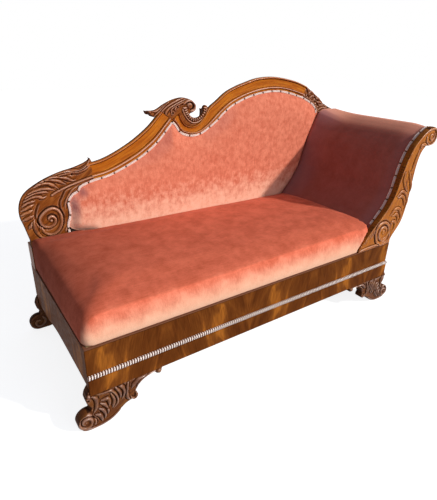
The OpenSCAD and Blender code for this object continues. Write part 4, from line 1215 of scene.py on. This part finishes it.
def back_gimp():
    line = evenly(beside(opening_top, -GIMP_W / 2 - SOFT_GAP), GIMP_STEP)
    side = side_of(line)
    flat = at_depth(line, CREST_Y)
    across = at_depth(side, 0)
    out = np.tile([0.0, -1, 0], (len(line), 1))
    gimp("back_gimp_braid", flat, across, out, GIMP_W, ("back_gimp",))
    nail_heads("back_gimp_nail_heads", flat, out, GIMP_T * 0.5, ("back_gimp_nails",))


# The arm's cloth is tacked in a rebate behind the facade's lip
PAD_FRONT = FACADE_LIP + 2
PAD_END = CREST_Y - BEAD_H - SOFT_GAP
ROLL_IN = 5
BORDER = ARM_GIMP_W + 2
ARM_RISE_RUN = 80
ARM_MIDDLE_SWELL = 14
ARM_REAR_RUN = 190
arm_line = np.vstack([from_right([[-205, 58]]), arm_inner[2:]])
arm_steps = 9
arm_run = smooth(arm_line, arm_steps)
ROLL_TURN = (85, -100, 34)
TONGUE_T = 6
core_depth = np.linspace(-ROLL_IN - 38, -ROLL_R + TOP_RAIL_R + SOFT_GAP, len(arm_run))
arm_face = np.vstack([beside(arm_run, -ROLL_IN), arc(ROLL, ROLL_R - ROLL_IN, *ROLL_TURN)])
arm_core = np.vstack([beside(arm_run, core_depth), arc(ROLL, TOP_RAIL_R + SOFT_GAP, *ROLL_TURN)])
# In the facade's rebate the stuffing is a thin tongue
arm_tongue = np.vstack([beside(arm_run, -ROLL_IN - TONGUE_T),
                        arc(ROLL, ROLL_R - ROLL_IN - TONGUE_T, *ROLL_TURN)])
TONGUE_END = FACADE_T + 0.7


# How far the arm's stuffing stands out where it meets the back, from its foot to the roll: it
# is fullest where it turns over the top rail
REAR_SWELL = np.array([[0, 36], [0.1, 42], [0.2, 52], [0.3, 48], [0.4, 42], [0.5, 44], [0.576, 66],
                       [0.62, 58], [0.68, 34], [0.75, 16], [1, 8]])


def rear_share(y):
    """How near a depth is to the arm's rear end, 0 to 1."""
    return np.clip((y - PAD_END + ARM_REAR_RUN) / ARM_REAR_RUN, 0, 1) ** 2


def arm_out(y, share):
    """Swell of the arm's stuffing at depth y, by the share of the way up from its foot."""
    middle = ARM_MIDDLE_SWELL * ease((y - PAD_FRONT - BORDER) / ARM_RISE_RUN) * (1 - 0.5 * share)
    rear = np.interp(share, REAR_SWELL[:, 0], REAR_SWELL[:, 1])
    return middle + rear_share(y) * (rear - middle)


def arm_row(y):
    n = len(arm_face) - 1
    i = np.arange(n + 1)
    face = arm_face + side_of(arm_face) * arm_out(y, i / n)[:, None]
    return at_depth(face, y)


arm_seam = arm_row(PAD_END)[:len(arm_run) - 2][:, [0, 2]]


def arm_pad():
    """The arm's stuffing, pulled over the top rail, tight along the gimp and full at the back."""
    depths = np.concatenate([[PAD_FRONT, PAD_FRONT + 0.6, PAD_FRONT + 4, FACADE_T + 0.6, FACADE_T + 0.8,
                              PAD_FRONT + BORDER],
                             PAD_FRONT + BORDER + ARM_RISE_RUN * np.linspace(0.1, 1, 10),
                             np.linspace(PAD_FRONT + BORDER + ARM_RISE_RUN + 15, PAD_END - 4, 44),
                             [PAD_END - 1, PAD_END]])
    rows = []
    for y in depths:
        face = arm_row(y)
        rounding = 8 * (1 - ease((y - PAD_FRONT) / 9)) + 3 * (1 - ease((PAD_END - y) / 6))
        face[:, [0, 2]] -= side_of(arm_face) * rounding * 0.5
        inside = arm_tongue if y < TONGUE_END else arm_core
        core = at_depth(inside, y)
        rows.append(np.vstack([face, core[::-1]]))
    columns = len(rows[0])
    half = columns // 2
    faces = skin_faces(len(rows), columns, False)
    last = (len(rows) - 1) * columns
    for i in range(half - 1):
        j = columns - 1 - i
        faces.append((i, j, j - 1, i + 1))
        faces.append((last + i + 1, last + j - 1, last + j, last + i))
    points = np.vstack(rows)
    obj = make_piece("arm_velvet_pad", points, faces, ARM_VELVET, ("arm_pad",), 70)


def arm_gimp():
    edge = arm_face[arm_steps + 3:len(arm_run) + 8]
    line = evenly(edge, GIMP_STEP)
    side = side_of(line)
    middle = at_depth(line, PAD_FRONT + ARM_GIMP_W / 2)
    turn = math.radians(GIMP_TILT)
    out = at_depth(side * math.cos(turn), -math.sin(turn))
    across = at_depth(side * math.sin(turn), math.cos(turn))
    gimp("arm_gimp_braid", middle + out * SOFT_GAP, across, out, ARM_GIMP_W, ("arm_gimp",))
    nail_heads("arm_gimp_nail_heads", middle, out, GIMP_T * 0.6, ("arm_gimp_nails",))


CLOTH_PITCH = 9
CLOTH_RIMS = (1.5, 4, 8)


def back_pad():
    """The back's stuffing: flat under the gimp, full in the middle, rounded at the left and
    tucked in at the arm. Its lower left corner is drawn up, clear of the seat."""
    lower = RAIL_TOP + 30
    left = scroll_inner[0][0] + SOFT_GAP
    seam_reach = 90
    corner = smooth([[245, lower + 92], [222, lower + 103], [190, lower + 112], [left + 12, lower + 128],
                     [left, lower + 155]], 4)
    seam = arm_seam[arm_seam[:, 1] < leaf_inner[4][1] - 1][::-1]
    inside_edge = beside(opening_top, -SOFT_GAP * 2)
    inside_edge = inside_edge[inside_edge[:, 1] > lower + 158]
    tucked = seam + [26, 4]
    keep = tucked[:, 1] < inside_edge[-1][1] - 6
    outline = np.vstack([[[245, lower]], corner, inside_edge[:-3], tucked[keep],
                         [[tucked[-1][0], lower]]])
    shape = Relief(outline)
    edge = shape.near(opening_top, 160)[0]
    valley = shape.near(seam + [4, 0], seam_reach)[0]
    drawn_up = shape.near(corner, seam_reach)[0]
    run = 42 + 50 * soft_step((shape.x - 260) / 300)
    shape.height = (BACK_SWELL * ease((edge - GIMP_W) / run) * ease((valley + 1) / 38)
                    * ease((drawn_up - 2) / 42))
    shape.height = shape.blurred(shape.height, 3)
    spots, faces, border = fill_outline(shape, CLOTH_PITCH, CLOTH_RIMS)
    height = shape.at(shape.height, spots)
    near_edge = np.clip(shape.at(shape.edge, spots) / 5, 0, 1)
    depth = CREST_Y + SOFT_GAP - height + 1.2 * (1 - near_edge)
    front = at_depth(spots, depth)
    edge_line = front[border][:, [0, 2]]
    rear = at_depth(edge_line, BOARD_Y - 4)
    total = len(front)
    faces += wall_faces(border, list(range(total, total + len(border))))
    flat = filled(edge_line)
    faces += [tuple(total + flat[3][i][0] for i in face) for face in flat[2]]
    obj = make_piece("back_velvet_pad", np.vstack([front, rear]), faces, BACK_VELVET,
                     ("back_pad",), 60)


SEAT_Z = RAIL_TOP + 1.5 + SOFT_GAP
POST_X = 16
SEAT_BACK_Y = CREST_Y - BACK_SWELL - 2
facade_line = smooth(arm_inner, 6)


def seat_right(z, y):
    """Where the seat meets the arm at a height and a depth."""
    x = np.interp(z, facade_line[:, 1], facade_line[:, 0])
    middle = ARM_MIDDLE_SWELL * ease((y - FACADE_T) / ARM_RISE_RUN)
    behind = x + ROLL_IN - 2 - 1.42 * (middle + rear_share(y) * (ARM_SWELL - middle))
    return np.where(y < FACADE_T + SOFT_GAP, x - SOFT_GAP, behind)


def seat_ring(z, inward):
    """One level outline of the seat, with its front and left edges drawn in."""
    corner_r = 34
    near = SEAT_INSET + inward
    upright = 3 + inward * 0.04
    back = SEAT_BACK_Y - inward * 0.02
    give = 0.12 * max(0, inward)
    full = SEAT_INSET + inward * 0.5
    right = seat_right(z, back) - give
    ring = [arc((near + corner_r, near + corner_r), corner_r, 180, 270, 10)]
    k = np.linspace(0, 1, 19)[1:]
    y = near + (full - near) * k ** 2
    ring.append(np.column_stack([near + corner_r + (seat_right(z, y) - give - near - corner_r) * k, y]))
    v = np.linspace(0, 1, 25)[1:]
    y = full + (back - full) * v
    ring.append(np.column_stack([seat_right(z, y) - give, y]))
    k = np.linspace(1, 0, 30)[1:]
    ring.append(np.column_stack([300 + (right - 300) * k, np.full(len(k), back)]))
    x = np.array([280, 262, 246, 230, 218, 205, 195, 185.0])
    ring.append(np.column_stack([x, back + BACK_SWELL * (1 - ease((x - 163 - BORDER) / 90))]))
    head = CREST_Y - 1 - inward * 0.06
    run_on = max(0.02, 1 - max(0, z - SEAT_Z - 75) / 60)
    tail = head + (CREST_BACK - 1 - CREST_Y) * run_on
    ring.append([[150, head], [POST_X - SOFT_GAP, head], [POST_X - SOFT_GAP, tail], [upright + 4, tail],
                 [upright + 1.2, tail - 1.5], [upright, tail - 5], [upright, head - 7]])
    k = np.linspace(1, 0, 12)[1:-1]
    ring.append(np.column_stack([near + (upright - near) * k,
                                 near + corner_r + (back - near - corner_r) * k]))
    return np.vstack(ring)


SEAT_LEVELS = smooth([[0, 0], [8, -3], [34, -5], [58, -2], [78, 6], [93, 17], [105, 34], [114, 60],
                      [122, 100], [129, 155], [SEAT_CROWN, 225]], 3)


# How much higher the seat's rear stands, from its left end to the arm
REAR_FULLNESS = [[0, 300, 800, 1400], [12, 11, 6, -7]]
SEAT_VOXEL = 7.5
SEAT_CAP = 6
CLOTH_FRAMES = 20


def swapped(obj, mesh):
    """Gives a piece a new mesh and deletes the old one."""
    old = obj.data
    mesh.materials.clear()
    mesh.materials.append(old.materials[0])
    obj.data = mesh
    mesh.shade_smooth()
    bpy.data.meshes.remove(old)


def applied(obj):
    """Bakes a piece's modifiers into its mesh."""
    seen = obj.evaluated_get(bpy.context.evaluated_depsgraph_get())
    mesh = bpy.data.meshes.new_from_object(seen)
    obj.modifiers.clear()
    swapped(obj, mesh)


def mesh_points(mesh):
    flat = np.empty(len(mesh.vertices) * 3, np.float32)
    mesh.vertices.foreach_get("co", flat)
    return flat.reshape(-1, 3).astype(float)


def evened(obj, rounds):
    """Smooths a piece, which leaves flat places as they are."""
    relax = obj.modifiers.new("smooth", "SMOOTH")
    relax.factor = 0.5
    relax.iterations = rounds
    applied(obj)


def blown(obj, voxel, cap, free):
    """Cloth over stuffing: the piece is remeshed, blown up from inside by Blender's cloth, where
    no point moves farther than the cap, and smoothed. Free says how much each point may move,
    0 to 1."""
    skin = obj.modifiers.new("remesh", "REMESH")
    skin.mode = "VOXEL"
    skin.voxel_size = voxel * MM
    applied(obj)
    evened(obj, 4)
    start = mesh_points(obj.data)
    share = free(start / MM - DRAWING_START)
    held = obj.vertex_groups.new(name="held")
    for i in np.flatnonzero(share < 0.05):
        held.add([int(i)], 1.0, "REPLACE")
    cloth = obj.modifiers.new("cloth", "CLOTH")
    cloth.settings.use_pressure = True
    cloth.settings.uniform_pressure_force = 4
    cloth.settings.effector_weights.gravity = 0
    cloth.settings.vertex_group_mass = "held"
    cloth.settings.tension_stiffness = 12
    cloth.settings.compression_stiffness = 12
    cloth.collision_settings.use_collision = False
    for step in range(1, CLOTH_FRAMES + 1):
        bpy.context.scene.frame_set(step)
    seen = obj.evaluated_get(bpy.context.evaluated_depsgraph_get())
    moved = mesh_points(seen.data) - start
    obj.modifiers.clear()
    obj.vertex_groups.clear()
    bpy.context.scene.frame_set(1)
    far = np.linalg.norm(moved, axis=1)
    moved *= (np.minimum(1, cap * MM / np.maximum(far, 1e-9)) * share)[:, None]
    obj.data.vertices.foreach_set("co", (start + moved).astype(np.float32).ravel())
    evened(obj, 16)
    smoothed = mesh_points(obj.data) - start
    obj.data.vertices.foreach_set("co", (start + smoothed * share[:, None]).astype(np.float32).ravel())
    finer = obj.modifiers.new("finer", "SUBSURF")
    finer.levels = 1
    applied(obj)


def seat_free(points):
    """The seat's cloth swells over the top, the front and the left, and is held by the rail,
    the arm and the back."""
    x, y, z = points.T
    off_rail = soft_step((z - SEAT_Z - 12) / 50)
    off_back = soft_step((SEAT_BACK_Y - 6 - y) / 60)
    off_arm = soft_step((seat_right(z, y) - 8 - x) / 60)
    return off_rail * off_back * off_arm


def seat_cushion():
    """The swelled seat, its cloth pulled down to the rails."""
    rows = []
    for z, inward in SEAT_LEVELS:
        ring = seat_ring(SEAT_Z + z, inward)
        fuller = np.interp(ring[:, 0], *REAR_FULLNESS)
        fuller *= soft_step((z - 60) / 60) * np.clip(ring[:, 1] / SEAT_BACK_Y, 0, 1) ** 4
        rows.append(np.column_stack([ring, SEAT_Z + z + fuller]))
    columns = len(rows[0])
    obj = make_piece("seat_velvet_cushion", np.vstack(rows), skin_faces(len(rows), columns), SEAT_VELVET,
                     ("seat_cushion",), 180)
    blown(obj, SEAT_VOXEL, SEAT_CAP, seat_free)


WADDING = COVER_T - 0.9


def back_cover():
    """The plain velvet on the outside of the back, over a thin wadding, with faint pulls."""
    low = RAIL_TOP + SOFT_GAP
    board_x = RAIL_LEN - ARM_BOARD_IN
    top = opening_top[opening_top[:, 0] < board_x]
    end = np.interp(board_x, opening_top[:, 0], opening_top[:, 1])
    outline = np.vstack([[[scroll_inner[0][0], low]], top, [[board_x, end], [board_x, low]]])
    shape = Relief(outline)
    pulls = 0.22 * np.sin(shape.x / 29) * np.sin(shape.z / 61 + shape.x / 170)
    shape.height = WADDING * ease(shape.edge / 16) ** 0.6 + pulls * np.clip(shape.edge / 25, 0, 1)
    spots, faces, border = fill_outline(shape, CLOTH_PITCH, CLOTH_RIMS)
    outer = at_depth(spots, CREST_BACK + 0.6 + shape.at(shape.height, spots))
    inner = at_depth(spots, CREST_BACK)
    total = len(spots)
    faces += [tuple(total + i for i in face[::-1]) for face in faces]
    faces += wall_faces(border, [total + i for i in border])
    obj = make_piece("back_velvet_cover", np.vstack([outer, inner]), faces, COVER_VELVET,
                     ("back_cover",), 60)


def arm_cover():
    """The plain velvet on the outside of the arm, from under its roll to the rail."""
    turn = math.radians(-106)
    start = ROLL + (ROLL_R - ARM_COVER_IN - COVER_T) * np.array([math.cos(turn), math.sin(turn)])
    line = beside(smooth(arm_outer, 6)[1:], -ARM_COVER_IN)
    line = evenly(np.vstack([[start], line[line[:, 1] > RAIL_TOP + 2 * COVER_T]]), CLOTH_PITCH)
    side = side_of(line)
    depths = np.linspace(FACADE_T + SOFT_GAP, BOARD_Y - SOFT_GAP, 66)
    rows = []
    for y in depths:
        rise = 0.8 + WADDING * ease(min(y - depths[0], depths[-1] - y) / 14)
        pull = 0.2 * np.sin(y / 23 + lengths(line) / 90)
        ends = np.minimum(1, np.minimum(lengths(line), lengths(line)[::-1]) / 12)
        thick = np.minimum(rise * (0.4 + 0.6 * ends) + pull * ends, COVER_T)
        inner = line - side * COVER_T
        outer = inner + side * thick[:, None]
        rows.append(at_depth(np.vstack([outer, inner[::-1]]), y))
    obj = make_piece("arm_velvet_cover", np.vstack(rows), skin_faces(len(rows), len(rows[0])),
                     COVER_VELVET, ("arm_cover",), 60)


def dress_frame():
    """Materials for the plain frame pieces that keep the frame's own shape."""
    finishes = (
        (FLAME, ("left_rail", "right_rail")),
        (BEECH, ("back_rail", "seat_battens", "corner_blocks", "back_stile", "arm_back_board",
                 "arm_top_rail", "arm_tack_rail")),
        # Painted shade: near-black beech where the frame shows in the dark behind the back
        (GAP_SHADE_BEECH, ("back_bottom_rail",)),
        (JUTE, ("arm_webbing", "seat_webbing", "seat_hessian")),
        # Painted shade: near-black hessian and webbing behind the back
        (GAP_SHADE_JUTE, ("back_webbing", "back_hessian")),
        (STEEL, ("corner_screws", "seat_springs")))
    for material, names in finishes:
        for name in names:
            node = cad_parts[name]
            for place in node.material_slots:
                place.material = material
            if not node.material_slots:
                node.data.materials.append(material)


crest_scroll()
crest_run("crest_low_moulding", low_outer, low_inner, ("crest_rail_low",))
crest_run("crest_high_moulding", high_outer, high_inner, ("crest_rail_high",))
crest_shell()
crest_leaf()
arm_facade()
feet()
rails()
rope_moulding()
back_gimp()
arm_gimp()
arm_pad()
back_pad()
seat_cushion()
back_cover()
arm_cover()
dress_frame()


# Floor, light and camera. From here on lengths are metres.

FLOOR_WHITE = 0.84


def looked_at(tree):
    """1 for the rays that look at a surface: from the camera, a gloss or a glass."""
    ray = add(tree, "LightPath")
    seen = ray.outputs["Is Camera Ray"]
    for kind in ("Is Glossy Ray", "Is Transmission Ray"):
        seen = maths(tree, "MAXIMUM", seen, ray.outputs[kind]).outputs[0]
    return seen


def white_ground():
    """Floor and sky: white where the camera, a gloss or a glass looks at them, and plain pale
    surfaces for the light."""
    floor_mesh = bpy.data.meshes.new("floor")
    reach = 12
    corners = [(-reach, -reach, 0), (reach, -reach, 0), (reach, reach, 0), (-reach, reach, 0)]
    floor_mesh.from_pydata(corners, [], [(0, 1, 2, 3)])
    floor = new_object("floor", floor_mesh)
    material = bpy.data.materials.new("pale_floor")
    material.use_nodes = True
    tree = material.node_tree
    tree.nodes.clear()
    lift = maths(tree, "MULTIPLY", looked_at(tree), FLOOR_WHITE)
    matt = add(tree, "BsdfDiffuse", {0: linear("#b8b8b8")})
    glow = add(tree, "Emission", {0: linear("#ffffff")}, {1: lift.outputs[0]})
    both = add(tree, "AddShader", links={0: matt.outputs[0], 1: glow.outputs[0]})
    add(tree, "OutputMaterial", links={"Surface": both.outputs[0]})
    floor_mesh.materials.append(material)

    world = bpy.data.worlds.new("studio")
    world.use_nodes = True
    bpy.context.scene.world = world
    tree = world.node_tree
    tree.nodes.clear()
    fill = add(tree, "Background", {0: linear("#e4ebff"), 1: 0.27})
    white = add(tree, "Background", {0: linear("#ffffff"), 1: 1.0})
    chosen = add(tree, "MixShader",
                 links={0: looked_at(tree), 1: fill.outputs[0], 2: white.outputs[0]})
    add(tree, "OutputWorld", links={"Surface": chosen.outputs[0]})


def lamps():
    """A warm key lamp from the front right, and a weak cool one from the front that opens the
    shadow on the back."""
    for name, energy, spread, colour, travel in (
            ("key", 2.9, 3, (1.0, 0.965, 0.92), (-1.15, 1.5, -1.0)),
            ("front_fill", 0.62, 40, (0.8, 0.93, 1.0), (-0.3, 1.0, -0.35))):
        sun = bpy.data.lights.new(name, "SUN")
        sun.energy = energy
        sun.angle = math.radians(spread)
        sun.color = colour
        holder = new_object(name, sun)
        holder.rotation_euler = Vector(travel).normalized().to_track_quat("-Z", "Y").to_euler()


def camera():
    """A camera at the photograph's viewing angle. Its place is in drawing millimetres."""
    place = to_frame([[-259.9, -1058.0, 1158.5]])[0]
    yaw, pitch, roll = 0.6096, 0.4285, 0.0253
    focal, middle_x, middle_y = 418.21, 215.40, 242.45
    width, height = 437, 500
    ahead = Vector((math.sin(yaw) * math.cos(pitch), math.cos(yaw) * math.cos(pitch), -math.sin(pitch)))
    right = Vector((math.cos(yaw), -math.sin(yaw), 0))
    up = right.cross(ahead)
    level_right = math.cos(roll) * right + math.sin(roll) * up
    level_up = -math.sin(roll) * right + math.cos(roll) * up
    data = bpy.data.cameras.new("camera")
    data.sensor_fit = "AUTO"
    film_width = 36
    data.sensor_width = film_width
    data.lens = film_width * focal / height
    data.shift_x = (width / 2 - middle_x) / height
    data.shift_y = (middle_y - height / 2) / height
    data.clip_start = 0.05
    obj = new_object("camera", data)
    axes = Matrix([level_right, level_up, -ahead]).transposed().to_4x4()
    obj.matrix_world = Matrix.Translation(Vector(place)) @ axes
    bpy.context.scene.camera = obj


white_ground()
lamps()
camera()
bpy.context.scene.view_settings.view_transform = "Standard"
